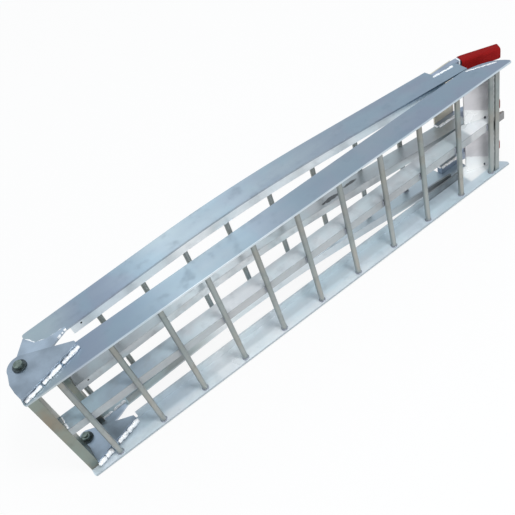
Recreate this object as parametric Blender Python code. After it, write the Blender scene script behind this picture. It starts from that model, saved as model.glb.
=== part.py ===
"""Folding aluminium loading ramp, stored on its side with the two halves closed.

X runs along the rails from the hinge end, Y from the lower half's tread into the
folded stack, Z up across the ramp's width. The lower half lies at low Y and the
upper half at high Y, and the upper half turns about the pivot bolts, along Z.
Every size is in metres. The finished ramp is moved so that the middle of its
bounding box's underside is the origin.
"""
import math

import bmesh
import bpy
from mathutils import Vector

# Overall sizes
RAMP_WIDTH = 0.290
LOWER_RAIL_LENGTH = 1.169

# Side rails: an angle section, web across the ramp's width and a turned flange
RAIL_DEPTH = 0.057
RAIL_WALL = 0.004
FLANGE_HEIGHT = 0.0227
FLANGE_START = 0.133
CORNER_RADIUS = 0.005

# Middle rails and hinge bars: one box tube
TUBE_SIZE = 0.020
TUBE_WALL = 0.0025
MIDDLE_SHIFT = 0.005

# Lower rails' ground end, measured back from their tips
NOSE_LENGTH = 0.030
TAPER_LENGTH = 0.086
FOOT_PLATE_SETBACK = 0.019
NOSE_DEPTH = 0.006
TAPER_PULL_BACK = 0.019
TAPER_PULL_IN = 0.012
MIDDLE_NOSE_SETBACK = 0.001
MIDDLE_NOSE_DEPTH = 0.004

# Rungs
RUNG_RADIUS = 0.0060
RUNG_INSET = 0.011
LOWER_RUNG_FIRST = 0.0662
LOWER_RUNG_COUNT = 10
LAST_RUNG_SETBACK = 0.1179
END_BAR_SIZE = 0.012
END_RUNG_GAP = 0.002
UPPER_RUNG_FIRST = 0.0815
UPPER_RUNG_PITCH = 0.1059
UPPER_RUNG_COUNT = 5
ARCH_RUNG_COUNT = 4
ARCH_RUNG_SETBACK = 0.0925

# Foot plates under the ground end
PLATE_WALL = 0.003

# Hinge: pivot place, and the plates welded on the side rails' webs
PIVOT_X = 0.026
PIVOT_BACK = 0.019
LOBE_RADIUS = 0.025
INNER_LOBE_RADIUS = 0.019
LOWER_LOBE_ARC = (75.0, 108.0)
UPPER_LOBE_ARC = (95.0, 190.0)
SPACER_WALL = 0.008
HINGE_WALL = 0.005
LOWER_PLATE_ROOT = (0.0025, 0.0065)
LOWER_PLATE_WELD = (0.1285, 0.0440)
PLATE_TIP = (0.127, 0.052)
PLATE_BULGE = 0.004
ROOT_WIDTH = 0.0075
ROOT_START = 0.010
ROOT_INSET = 0.0006
UPPER_PLATE_HEEL = 0.137
UPPER_PLATE_NOTCH = (0.067, 0.111)
UPPER_PLATE_STEP = (0.089, 0.102)
UPPER_PLATE_LAP = 0.0055
LIP_START = 0.107
LIP_STEP = 0.009

# Pivot bolts
BOLT_RADIUS = 0.005
HEAD_RADIUS = 0.0085
TOP_HEAD_HEIGHT = 0.006
LOW_HEAD_HEIGHT = 0.0022
NUT_ACROSS = 0.017
NUT_HEIGHT = 0.008
WASHER_RADIUS = 0.0135
WASHER_WALL = 0.002
THREAD_OVER = 0.003

# Upper rails' arch, and their far end's setback from the lower rails' tips
ARCH_RISE = 0.0125
ARCH_START = 0.350
ARCH_LENGTH = 0.390
CROWN_SHARE = 0.77
WEB_SETBACK = 0.069
NOTCH_SETBACK = 0.1295
NOTCH_CLEAR = 0.00677

# Tongues that lie on the tailgate, and their sleeves
TONGUE_LAG = 0.0025
TONGUE_STEP = 0.01277
TONGUE_STRAIGHT = 0.053
TONGUE_BEND_RADIUS = 0.100
TONGUE_BEND = math.radians(25.0)
TONGUE_TAIL = 0.0685
TONGUE_THICK = 0.014
TONGUE_HEIGHT = 0.021
COVER_START = 0.082
COVER_WALL = 0.0027
END_PLATE_LAG = 0.004
END_PLATE_WIDTH = 0.058

# Clearances
GAP = 0.0003
BORE_GAP = 0.0003
ARC_STEPS = 10

# Places worked out from the sizes
BAR_END = LOWER_RAIL_LENGTH - NOSE_LENGTH
TAPER_START = LOWER_RAIL_LENGTH - TAPER_LENGTH
FOOT_PLATE_END = LOWER_RAIL_LENGTH - FOOT_PLATE_SETBACK
LOWER_RUNG_PITCH = (BAR_END - LAST_RUNG_SETBACK - LOWER_RUNG_FIRST) / (LOWER_RUNG_COUNT - 1)
PIVOT_Y = RAIL_DEPTH + PIVOT_BACK
UPPER_TREAD_Y = 2.0 * PIVOT_Y
UPPER_START = 2.0 * PIVOT_X + GAP
TUBE_SETBACK = RUNG_INSET + RUNG_RADIUS + GAP
SEAT_LOW = RAIL_WALL + GAP
SEAT_TOP = RAMP_WIDTH - RAIL_WALL - GAP
MIDDLE_Z = RAMP_WIDTH / 2.0 - MIDDLE_SHIFT
UPPER_WEB_END = LOWER_RAIL_LENGTH - WEB_SETBACK
NOTCH_START = LOWER_RAIL_LENGTH - NOTCH_SETBACK
TONGUE_START = NOTCH_START + TONGUE_LAG
END_PLATE_START = TONGUE_START + END_PLATE_LAG
NOTCH_TREAD_Y = 2.0 * RAIL_DEPTH + NOTCH_CLEAR
TONGUE_FACE = NOTCH_TREAD_Y - TONGUE_STEP
RISE_SLOPE = ARCH_RISE / (ARCH_START - UPPER_START)
ARCH_DROP = UPPER_TREAD_Y + ARCH_RISE + RISE_SLOPE * ARCH_LENGTH / 2.0 - NOTCH_TREAD_Y
FALL_SLOPE = -ARCH_DROP / (NOTCH_START - ARCH_START - ARCH_LENGTH / 2.0)
SUMMIT = ARCH_START + ARCH_LENGTH * RISE_SLOPE / (RISE_SLOPE - FALL_SLOPE)
CROWN_END = ARCH_START + ARCH_LENGTH * CROWN_SHARE

METAL = dict(color=(0.66, 0.68, 0.70), metallic=1.0, roughness=0.38)
PLATE_METAL = dict(color=(0.62, 0.65, 0.68), metallic=1.0, roughness=0.32)
RUNG_METAL = dict(color=(0.64, 0.64, 0.62), metallic=1.0, roughness=0.42)
STEEL = dict(color=(0.42, 0.43, 0.44), metallic=1.0, roughness=0.35)
RED_VINYL = dict(color=(0.45, 0.02, 0.03), metallic=0.0, roughness=0.40)


def clear_scene():
    """Remove the objects of the scene that the script starts in."""
    for obj in list(bpy.data.objects):
        bpy.data.objects.remove(obj, do_unlink=True)


def new_collection(name, hidden=False):
    """Make a collection in the scene, hidden from the render for cutters."""
    collection = bpy.data.collections.new(name)
    bpy.context.scene.collection.children.link(collection)
    collection.hide_render = hidden
    return collection


def material(name, color, metallic, roughness):
    """Make a Principled material of one plain finish."""
    mat = bpy.data.materials.new(name)
    mat.use_nodes = True
    shader = mat.node_tree.nodes["Principled BSDF"]
    shader.inputs["Base Color"].default_value = (*color, 1.0)
    shader.inputs["Metallic"].default_value = metallic
    shader.inputs["Roughness"].default_value = roughness
    return mat


def add_object(name, mesh, collection):
    """Put a mesh in the scene as one named object."""
    obj = bpy.data.objects.new(name, mesh)
    collection.objects.link(obj)
    return obj


def box(name, low, high, collection):
    """A box between two corners, its origin at its middle."""
    bm = bmesh.new()
    bmesh.ops.create_cube(bm, size=1.0)
    size = Vector(high) - Vector(low)
    bmesh.ops.scale(bm, vec=size, verts=bm.verts)
    mesh = bpy.data.meshes.new(name)
    bm.to_mesh(mesh)
    bm.free()
    obj = add_object(name, mesh, collection)
    obj.location = (Vector(low) + Vector(high)) / 2.0
    return obj


def rod(name, x, y, z_low, z_high, radius, collection, sides=16):
    """A round bar or a prism along Z, its origin at its middle."""
    bm = bmesh.new()
    bmesh.ops.create_cone(bm, cap_ends=True, segments=sides, radius1=radius,
                          radius2=radius, depth=z_high - z_low)
    mesh = bpy.data.meshes.new(name)
    bm.to_mesh(mesh)
    bm.free()
    obj = add_object(name, mesh, collection)
    obj.location = (x, y, (z_low + z_high) / 2.0)
    return obj


def slab(name, outline, z_low, z_high, collection):
    """A flat outline in X and Y, filled and extruded between two heights."""
    curve = bpy.data.curves.new(name + "_outline", "CURVE")
    curve.dimensions = "2D"
    curve.fill_mode = "BOTH"
    curve.extrude = (z_high - z_low) / 2.0
    spline = curve.splines.new("POLY")
    spline.points.add(len(outline) - 1)
    spline.use_cyclic_u = True
    for point, (x, y) in zip(spline.points, outline):
        point.co = (x, y, 0.0, 1.0)
    shape = add_object(name + "_outline", curve, collection)
    bpy.context.view_layer.update()
    graph = bpy.context.evaluated_depsgraph_get()
    mesh = bpy.data.meshes.new_from_object(shape.evaluated_get(graph))
    bpy.data.objects.remove(shape, do_unlink=True)
    bm = bmesh.new()
    bm.from_mesh(mesh)
    bmesh.ops.remove_doubles(bm, verts=bm.verts, dist=0.00001)
    bm.to_mesh(mesh)
    bm.free()
    obj = add_object(name, mesh, collection)
    obj.location.z = (z_low + z_high) / 2.0
    return obj


def boolean(target, other, operation, cutters):
    """Join another solid to the target, or cut it out of the target."""
    for collection in list(other.users_collection):
        collection.objects.unlink(other)
    cutters.objects.link(other)
    other.hide_render = True
    other.display_type = "WIRE"
    modifier = target.modifiers.new(other.name, "BOOLEAN")
    modifier.operation = operation
    modifier.solver = "EXACT"
    modifier.object = other
    return target


def arc(center, radius, start, sweep, steps=ARC_STEPS):
    """Points on an arc from a start angle through a sweep, in degrees."""
    points = []
    for step in range(steps + 1):
        angle = math.radians(start + sweep * step / steps)
        points.append((center[0] + radius * math.cos(angle), center[1] + radius * math.sin(angle)))
    return points


def taper(steps=ARC_STEPS):
    """The ground end's underside: a curve from the taper's start to the nose."""
    start = (TAPER_START, RAIL_DEPTH)
    pull = (LOWER_RAIL_LENGTH - TAPER_PULL_BACK, RAIL_DEPTH - TAPER_PULL_IN)
    nose = (LOWER_RAIL_LENGTH, NOSE_DEPTH)
    points = []
    for step in range(steps + 1):
        t = step / steps
        weights = ((1.0 - t) ** 2, 2.0 * t * (1.0 - t), t * t)
        points.append(tuple(weights[0] * start[i] + weights[1] * pull[i] + weights[2] * nose[i]
                            for i in range(2)))
    return points


def taper_at(x):
    """The ground end's underside at a distance along the rail."""
    points = taper()
    for (x0, y0), (x1, y1) in zip(points, points[1:]):
        if x0 <= x <= x1:
            return y0 + (y1 - y0) * (x - x0) / (x1 - x0)
    return RAIL_DEPTH


def tread_y(x):
    """The upper half's tread line: it rises, bends over the arch and falls."""
    rise = UPPER_TREAD_Y + RISE_SLOPE * (min(x, ARCH_START) - UPPER_START)
    along = min(max(x - ARCH_START, 0.0), ARCH_LENGTH)
    bend = RISE_SLOPE * along + (FALL_SLOPE - RISE_SLOPE) * along * along / (2.0 * ARCH_LENGTH)
    return rise + bend + FALL_SLOPE * max(x - ARCH_START - ARCH_LENGTH, 0.0)


def upper_stations(start, end):
    """Places along the upper rail: its ends and the steps of its arch."""
    arch = [ARCH_START + ARCH_LENGTH * step / ARC_STEPS for step in range(ARC_STEPS + 1)]
    return [start] + [x for x in arch if start < x < end] + [end]


def upper_line(start, end, inset):
    """A line along the upper rail, at a depth under its tread."""
    return [(x, tread_y(x) - inset) for x in upper_stations(start, end)]


def rounded_corner(corner, radius, start):
    """The rounded corner of a rail's end, with the rail to the right of it."""
    return arc(corner, radius, start, 90.0, 4)


def lower_rail(side, z_web, z_flange, parts, cutters):
    """A lower side rail: the web with its tapered end, and the turned flange."""
    radius = CORNER_RADIUS
    outline = rounded_corner((radius, RAIL_DEPTH - radius), radius, 90.0)
    outline += rounded_corner((radius, radius), radius, 180.0)
    outline += [(LOWER_RAIL_LENGTH - NOSE_DEPTH / 4.0, 0.0)] + taper()[::-1]
    rail = slab("lower_rail_" + side, outline, *z_web, parts)
    inner = RAIL_DEPTH - RAIL_WALL
    edge = [(FLANGE_START, RAIL_DEPTH), (FLANGE_START, inner), (TAPER_START, inner), (TAPER_START, RAIL_DEPTH)]
    flange = slab("lower_flange_" + side, edge, *z_flange, parts)
    return boolean(rail, flange, "UNION", cutters)


def stretches(start):
    """The upper rails' stretches by name, from a start to the web's end."""
    ends = (("rise", SUMMIT - GAP), ("crown", CROWN_END - GAP), ("fall", UPPER_WEB_END))
    parts = []
    for name, end in ends:
        parts.append((name, start, end))
        start = end + GAP
    return parts


def tongue_seat():
    """The upper rails' far end, cut back to a step that the tongue lies on."""
    seat = TONGUE_FACE - TONGUE_THICK - GAP
    return [(UPPER_WEB_END, seat), (TONGUE_START - GAP, seat)]


def upper_heel(side, z_web, parts):
    """The upper side rail's hinge end, where the flange is cut away."""
    radius = CORNER_RADIUS
    low_y = tread_y(UPPER_START) - RAIL_DEPTH
    outline = rounded_corner((UPPER_START + radius, tread_y(UPPER_START) - radius), radius, 90.0)
    outline += rounded_corner((UPPER_START + radius, low_y + radius), radius, 180.0)
    start, end = UPPER_START + 2.0 * radius, FLANGE_START - GAP
    outline += upper_line(start, end, RAIL_DEPTH) + upper_line(start, end, 0.0)[::-1]
    return slab("upper_rail_%s_heel" % side, outline, *z_web, parts)


def upper_rail(side, z_web, z_flange, parts, cutters):
    """An upper side rail: the arched web, cut back for the tongue, and the flange."""
    pieces = [upper_heel(side, z_web, parts)]
    for stretch, start, end in stretches(FLANGE_START):
        outline = upper_line(start, end, RAIL_DEPTH)
        top_end, flange_end = end, end
        if end == UPPER_WEB_END:
            outline += tongue_seat() + [(TONGUE_START - GAP, TONGUE_FACE - CORNER_RADIUS)]
            top_end, flange_end = NOTCH_START, TONGUE_START
        outline += upper_line(start, top_end, 0.0)[::-1]
        rail = slab("upper_rail_%s_%s" % (side, stretch), outline, *z_web, parts)
        edge = upper_line(start, flange_end, RAIL_DEPTH)
        edge += upper_line(start, flange_end, RAIL_DEPTH - RAIL_WALL)[::-1]
        flange = slab("upper_flange_%s_%s" % (side, stretch), edge, *z_flange, parts)
        pieces.append(boolean(rail, flange, "UNION", cutters))
    return pieces


def lower_middle_rail(parts, cutters):
    """The lower half's middle rail: a box tube that stands behind the rungs."""
    half = TUBE_SIZE / 2.0
    core = half - TUBE_WALL
    start = TUBE_SIZE + 2.0 * GAP
    end = LOWER_RAIL_LENGTH - MIDDLE_NOSE_SETBACK
    nose_y = TUBE_SETBACK + MIDDLE_NOSE_DEPTH
    outline = [(start, RAIL_DEPTH), (start, TUBE_SETBACK), (end, TUBE_SETBACK), (end, nose_y)]
    outline += [(x, y) for x, y in taper() if y > nose_y][::-1]
    rail = slab("lower_rail_middle", outline, MIDDLE_Z - half, MIDDLE_Z + half, parts)
    low = (start - GAP, TUBE_SETBACK + TUBE_WALL, MIDDLE_Z - core)
    high = (TAPER_START, RAIL_DEPTH - TUBE_WALL, MIDDLE_Z + core)
    return boolean(rail, box("lower_tube_core", low, high, parts), "DIFFERENCE", cutters)


def upper_middle_rail(parts, cutters):
    """The upper half's middle rail: the same tube, arched, with a step for the tongue."""
    half = TUBE_SIZE / 2.0
    core = half - TUBE_WALL
    pieces = []
    for stretch, start, end in stretches(UPPER_START + TUBE_SIZE + GAP):
        outline = upper_line(start, end, RAIL_DEPTH)
        top_end, core_end = end, end + GAP
        if end == UPPER_WEB_END:
            outline += tongue_seat()
            top_end, core_end = TONGUE_START - GAP, TONGUE_START - TUBE_WALL
        outline += upper_line(start, top_end, TUBE_SETBACK)[::-1]
        name = "upper_rail_middle_" + stretch
        rail = slab(name, outline, MIDDLE_Z - half, MIDDLE_Z + half, parts)
        bore = upper_line(start - GAP, core_end, RAIL_DEPTH - TUBE_WALL)
        bore += upper_line(start - GAP, core_end, TUBE_SETBACK + TUBE_WALL)[::-1]
        hollow = slab(name + "_core", bore, MIDDLE_Z - core, MIDDLE_Z + core, parts)
        pieces.append(boolean(rail, hollow, "DIFFERENCE", cutters))
    return pieces


def hinge_bar(name, x, y_low, y_high, z_low, z_high, parts, cutters):
    """The box tube across a half's hinge end, between the side rails."""
    bar = box(name, (x, y_low, z_low), (x + TUBE_SIZE, y_high, z_high), parts)
    wall = TUBE_WALL
    low = (x + wall, y_low + wall, z_low - GAP)
    high = (x + TUBE_SIZE - wall, y_high - wall, z_high + GAP)
    return boolean(bar, box(name + "_core", low, high, parts), "DIFFERENCE", cutters)


def lower_rungs(parts):
    """The lower half's rungs, its end rung and the square bar at the ground."""
    pieces = []
    for index in range(LOWER_RUNG_COUNT):
        x = LOWER_RUNG_FIRST + LOWER_RUNG_PITCH * index
        name = "lower_rung_%02d" % (index + 1)
        pieces.append(rod(name, x, RUNG_INSET, SEAT_LOW, SEAT_TOP, RUNG_RADIUS, parts))
    bar_x = BAR_END - END_BAR_SIZE
    x = bar_x - END_RUNG_GAP - RUNG_RADIUS
    pieces.append(rod("lower_end_rung", x, RUNG_INSET, SEAT_LOW, SEAT_TOP, RUNG_RADIUS, parts))
    low = (bar_x, RUNG_INSET - RUNG_RADIUS, SEAT_LOW)
    high = (BAR_END, RUNG_INSET + RUNG_RADIUS, SEAT_TOP)
    pieces.append(box("ground_end_bar", low, high, parts))
    return pieces


def upper_rungs(parts):
    """The upper half's rungs, at the arch's own pitch beyond the first ones."""
    places = [UPPER_RUNG_FIRST + UPPER_RUNG_PITCH * index for index in range(UPPER_RUNG_COUNT)]
    pitch = (NOTCH_START - ARCH_RUNG_SETBACK - places[-1]) / ARCH_RUNG_COUNT
    places += [places[-1] + pitch * (index + 1) for index in range(ARCH_RUNG_COUNT)]
    pieces = []
    for index, x in enumerate(places):
        name = "upper_rung_%02d" % (index + 1)
        y = tread_y(x) - RUNG_INSET
        pieces.append(rod(name, x, y, SEAT_LOW, SEAT_TOP, RUNG_RADIUS, parts))
    return pieces


def foot_plates(parts):
    """The two plates that close the taper, between the side and middle rails."""
    half = TUBE_SIZE / 2.0
    start = TAPER_START + GAP
    line = [(start, taper_at(start) - GAP)]
    line += [(FOOT_PLATE_END, taper_at(FOOT_PLATE_END) - GAP)]
    outline = line + [(x, y - PLATE_WALL) for x, y in line[::-1]]
    left = slab("foot_plate_left", outline, SEAT_LOW, MIDDLE_Z - half - GAP, parts)
    right = slab("foot_plate_right", outline, MIDDLE_Z + half + GAP, SEAT_TOP, parts)
    return [left, right]


def lobe(radius, start, sweep):
    """The round end of a hinge plate, about the pivot."""
    return arc((PIVOT_X, PIVOT_Y), radius, start, sweep)


def bolt_hole(plate, name, z_low, z_high, parts, cutters):
    """Cut the pivot bolt's hole through a hinge plate."""
    radius = BOLT_RADIUS + BORE_GAP
    hole = rod(name, PIVOT_X, PIVOT_Y, z_low - RAIL_WALL, z_high + RAIL_WALL, radius, parts)
    return boolean(plate, hole, "DIFFERENCE", cutters)


def lower_hinge_plate(side, z_plate, z_root, notched, parts, cutters):
    """A lower hinge plate with the thicker root that is welded to the web."""
    name = "lower_hinge_plate_" + side
    radius = INNER_LOBE_RADIUS if notched else LOBE_RADIUS
    outline = [LOWER_PLATE_WELD, PLATE_TIP] + lobe(radius, *LOWER_LOBE_ARC)
    if notched:
        clear = TUBE_SIZE + 2.0 * GAP
        outline += [(PIVOT_X - radius, RAIL_DEPTH + GAP), (clear, RAIL_DEPTH + GAP)]
        outline += [(clear, root_line_y(clear))]
        root_start = clear
    else:
        outline += [(-PLATE_BULGE, RAIL_DEPTH - CORNER_RADIUS), (-PLATE_BULGE / 2.0, RAIL_DEPTH / 2.0)]
        outline += [LOWER_PLATE_ROOT]
        root_start = ROOT_START
    plate = slab(name, outline, *z_plate, parts)
    weld_x = LOWER_PLATE_WELD[0]
    start_x = root_start + ROOT_INSET
    start_y = root_line_y(start_x) + ROOT_INSET
    end_x = weld_x - ROOT_WIDTH
    end_y = root_line_y(end_x) + ROOT_INSET
    edge = [(start_x, start_y), (end_x, end_y), (end_x, end_y + ROOT_WIDTH)]
    edge += [(start_x, start_y + ROOT_WIDTH)]
    root = slab(name + "_root", edge, *z_root, parts)
    boolean(plate, root, "UNION", cutters)
    return bolt_hole(plate, name + "_hole", *z_plate, parts, cutters)


def root_line_y(x):
    """The lower hinge plate's welded edge, at a distance along the rail."""
    (x0, y0), (x1, y1) = LOWER_PLATE_ROOT, LOWER_PLATE_WELD
    return y0 + (y1 - y0) * (x - x0) / (x1 - x0)


def upper_hinge_plate(side, z_plate, notched, parts, cutters):
    """An upper hinge plate: the lobe, the tip on the web and the edge between."""
    name = "upper_hinge_plate_" + side
    low_y = tread_y(UPPER_START) - RAIL_DEPTH
    tip = (PLATE_TIP[0], low_y + UPPER_PLATE_LAP)
    edge = [tip, UPPER_PLATE_STEP, UPPER_PLATE_NOTCH]
    radius = INNER_LOBE_RADIUS if notched else LOBE_RADIUS
    if notched:
        clear_x = UPPER_START + TUBE_SIZE + GAP
        clear_y = low_y - GAP
        edge = [tip, UPPER_PLATE_STEP, (clear_x, UPPER_PLATE_STEP[1]), (clear_x, clear_y)]
        edge += [(PIVOT_X + radius, clear_y)]
    else:
        edge += [(UPPER_START, UPPER_PLATE_HEEL)]
    outline = edge + lobe(radius, *UPPER_LOBE_ARC) + [(LIP_START, low_y - LIP_STEP), (tip[0], low_y - GAP)]
    plate = slab(name, outline, *z_plate, parts)
    return bolt_hole(plate, name + "_hole", *z_plate, parts, cutters)


def hinge_plates(parts, cutters):
    """Both pairs of hinge plates, and the heights that the bolts clamp."""
    wall = HINGE_WALL
    low_far = (SEAT_LOW, SEAT_LOW + wall)
    low_near_z = low_far[1] + SPACER_WALL + 2.0 * GAP
    low_near = (low_near_z, low_near_z + wall)
    top_far = (RAMP_WIDTH + GAP, RAMP_WIDTH + GAP + wall)
    top_near = (top_far[1] + GAP, top_far[1] + GAP + wall)
    low_root = (SEAT_LOW, low_near[1] - wall / 2.0)
    top_root = (top_far[0], top_near[1] - wall / 2.0)
    lower = [lower_hinge_plate("left", low_near, low_root, True, parts, cutters),
             lower_hinge_plate("right", top_near, top_root, False, parts, cutters)]
    upper = [upper_hinge_plate("left", low_far, True, parts, cutters),
             upper_hinge_plate("right", top_far, False, parts, cutters)]
    return lower, upper, (low_far[0], low_near[1]), (top_far[0], top_near[1])


def washer(name, z_low, wall, parts, cutters):
    """A plain washer on the pivot bolt."""
    z_high = z_low + wall
    ring = rod(name, PIVOT_X, PIVOT_Y, z_low, z_high, WASHER_RADIUS, parts, 32)
    hole_radius = BOLT_RADIUS + BORE_GAP
    hole = rod(name + "_hole", PIVOT_X, PIVOT_Y, z_low - WASHER_WALL, z_high + WASHER_WALL,
               hole_radius, parts)
    return boolean(ring, hole, "DIFFERENCE", cutters)


def nut(name, z_low, parts, cutters):
    """A hexagon nut on the pivot bolt."""
    corner = NUT_ACROSS / math.sqrt(3.0)
    body = rod(name, PIVOT_X, PIVOT_Y, z_low, z_low + NUT_HEIGHT, corner, parts, 6)
    hole = rod(name + "_hole", PIVOT_X, PIVOT_Y, z_low - GAP, z_low + NUT_HEIGHT + GAP,
               BOLT_RADIUS + BORE_GAP, parts)
    return boolean(body, hole, "DIFFERENCE", cutters)


def bolt(name, head, shank_end, parts, cutters):
    """A pivot bolt: its head between two heights and its shank to a third."""
    body = rod(name, PIVOT_X, PIVOT_Y, *head, HEAD_RADIUS, parts, 32)
    inside = (head[0] + head[1]) / 2.0
    low, high = sorted((inside, shank_end))
    shank = rod(name + "_shank", PIVOT_X, PIVOT_Y, low, high, BOLT_RADIUS, parts)
    return boolean(body, shank, "UNION", cutters)


def pivots(low_stack, top_stack, parts, cutters):
    """The two pivot bolts with their nuts and washers."""
    head_low = low_stack[0] - GAP - LOW_HEAD_HEIGHT
    low_washer = low_stack[1] + GAP
    low_nut = low_washer + WASHER_WALL + GAP
    top_washer = top_stack[1] + GAP
    top_head = top_washer + WASHER_WALL + GAP
    under_washer = top_stack[0] - GAP - WASHER_WALL
    under_nut = under_washer - GAP - NUT_HEIGHT
    pieces = [bolt("pivot_bolt_left", (head_low, head_low + LOW_HEAD_HEIGHT),
                   low_nut + NUT_HEIGHT + THREAD_OVER, parts, cutters)]
    pieces += [bolt("pivot_bolt_right", (top_head, top_head + TOP_HEAD_HEIGHT),
                    under_nut - THREAD_OVER, parts, cutters)]
    pieces += [nut("pivot_nut_left", low_nut, parts, cutters)]
    pieces += [nut("pivot_nut_right", under_nut, parts, cutters)]
    spacer_z = low_stack[0] + HINGE_WALL + GAP
    pieces += [washer("pivot_washer_left", low_washer, WASHER_WALL, parts, cutters)]
    pieces += [washer("pivot_washer_right", top_washer, WASHER_WALL, parts, cutters)]
    pieces += [washer("nut_washer_right", under_washer, WASHER_WALL, parts, cutters)]
    pieces += [washer("hinge_spacer_left", spacer_z, SPACER_WALL, parts, cutters)]
    return pieces


def tongue_offset(start, end, offset):
    """A line beside the tongue's tread face, between two lengths along it."""
    bend_length = TONGUE_BEND_RADIUS * TONGUE_BEND
    bend_start = TONGUE_STRAIGHT
    bends = [bend_start + bend_length * step / ARC_STEPS for step in range(ARC_STEPS + 1)]
    places = [start] + [s for s in bends if start < s < end] + [end]
    points = []
    for s in places:
        turned = min(max(s - bend_start, 0.0), bend_length) / TONGUE_BEND_RADIUS
        tail = max(s - bend_start - bend_length, 0.0)
        x = TONGUE_START + min(s, bend_start) + TONGUE_BEND_RADIUS * math.sin(turned)
        y = TONGUE_FACE - TONGUE_BEND_RADIUS * (1.0 - math.cos(turned))
        x += tail * math.cos(TONGUE_BEND)
        y -= tail * math.sin(TONGUE_BEND)
        points.append((x + offset * math.sin(turned), y + offset * math.cos(turned)))
    return points


def band(start, end, outside, inside):
    """The outline between two lines beside the tongue's tread face."""
    return tongue_offset(start, end, inside) + tongue_offset(start, end, outside)[::-1]


def tongue_length():
    """The tongue's length along its tread face."""
    return TONGUE_STRAIGHT + TONGUE_BEND_RADIUS * TONGUE_BEND + TONGUE_TAIL


def tongues(parts, cutters):
    """The three bent tongues and the sleeves over their ends."""
    pieces = []
    margin = COVER_WALL + GAP
    heights = {"left": margin, "middle": MIDDLE_Z - TONGUE_HEIGHT / 2.0,
               "right": RAMP_WIDTH - margin - TONGUE_HEIGHT}
    length = tongue_length()
    for side, z_low in heights.items():
        z_high = z_low + TONGUE_HEIGHT
        bar = band(0.0, length, 0.0, -TONGUE_THICK)
        pieces.append(slab("tongue_" + side, bar, z_low, z_high, parts))
        shell = band(COVER_START, length + margin, margin, -TONGUE_THICK - margin)
        cover = slab("tongue_cover_" + side, shell, z_low - margin, z_high + margin, parts)
        hollow = band(COVER_START - margin, length + GAP, GAP, -TONGUE_THICK - GAP)
        core = slab("cover_core_" + side, hollow, z_low - GAP, z_high + GAP, parts)
        pieces.append(boolean(cover, core, "DIFFERENCE", cutters))
    return pieces


def end_plate(parts):
    """The flat plate across the tongues' tread faces."""
    low = (END_PLATE_START, TONGUE_FACE + GAP, SEAT_LOW)
    high = (END_PLATE_START + END_PLATE_WIDTH, TONGUE_FACE + GAP + RAIL_WALL, SEAT_TOP)
    return box("upper_end_plate", low, high, parts)


def finish_meshes(pieces):
    """Bake each piece's modifiers into its mesh, in the ramp's coordinates."""
    bpy.context.view_layer.update()
    graph = bpy.context.evaluated_depsgraph_get()
    for piece in pieces:
        mesh = bpy.data.meshes.new_from_object(piece.evaluated_get(graph))
        piece.modifiers.clear()
        piece.data = mesh
        bm = bmesh.new()
        bm.from_mesh(mesh)
        bmesh.ops.remove_doubles(bm, verts=bm.verts, dist=0.00001)
        bmesh.ops.dissolve_degenerate(bm, edges=bm.edges, dist=0.00001)
        bmesh.ops.recalc_face_normals(bm, faces=bm.faces)
        bm.to_mesh(mesh)
        bm.free()
        mesh.name = piece.name


def paint(pieces):
    """Give every piece its own material, by what it is made of."""
    for piece in pieces:
        finish = METAL
        if "rung" in piece.name or "bar" in piece.name:
            finish = RUNG_METAL
        if "plate" in piece.name:
            finish = PLATE_METAL
        if piece.name.startswith(("pivot", "nut")):
            finish = STEEL
        if "cover" in piece.name:
            finish = RED_VINYL
        piece.data.materials.clear()
        piece.data.materials.append(material(piece.name + "_finish", **finish))


def place_on_origin(pieces, roots):
    """Move the ramp so that its box stands on the origin by its middle."""
    bpy.context.view_layer.update()
    corners = [piece.matrix_world @ Vector(corner) for piece in pieces for corner in piece.bound_box]
    low = Vector([min(corner[axis] for corner in corners) for axis in range(3)])
    high = Vector([max(corner[axis] for corner in corners) for axis in range(3)])
    offset = Vector(((low.x + high.x) / 2.0, (low.y + high.y) / 2.0, low.z))
    for root in roots:
        root.location -= offset
    bpy.context.view_layer.update()
    return offset


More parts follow.
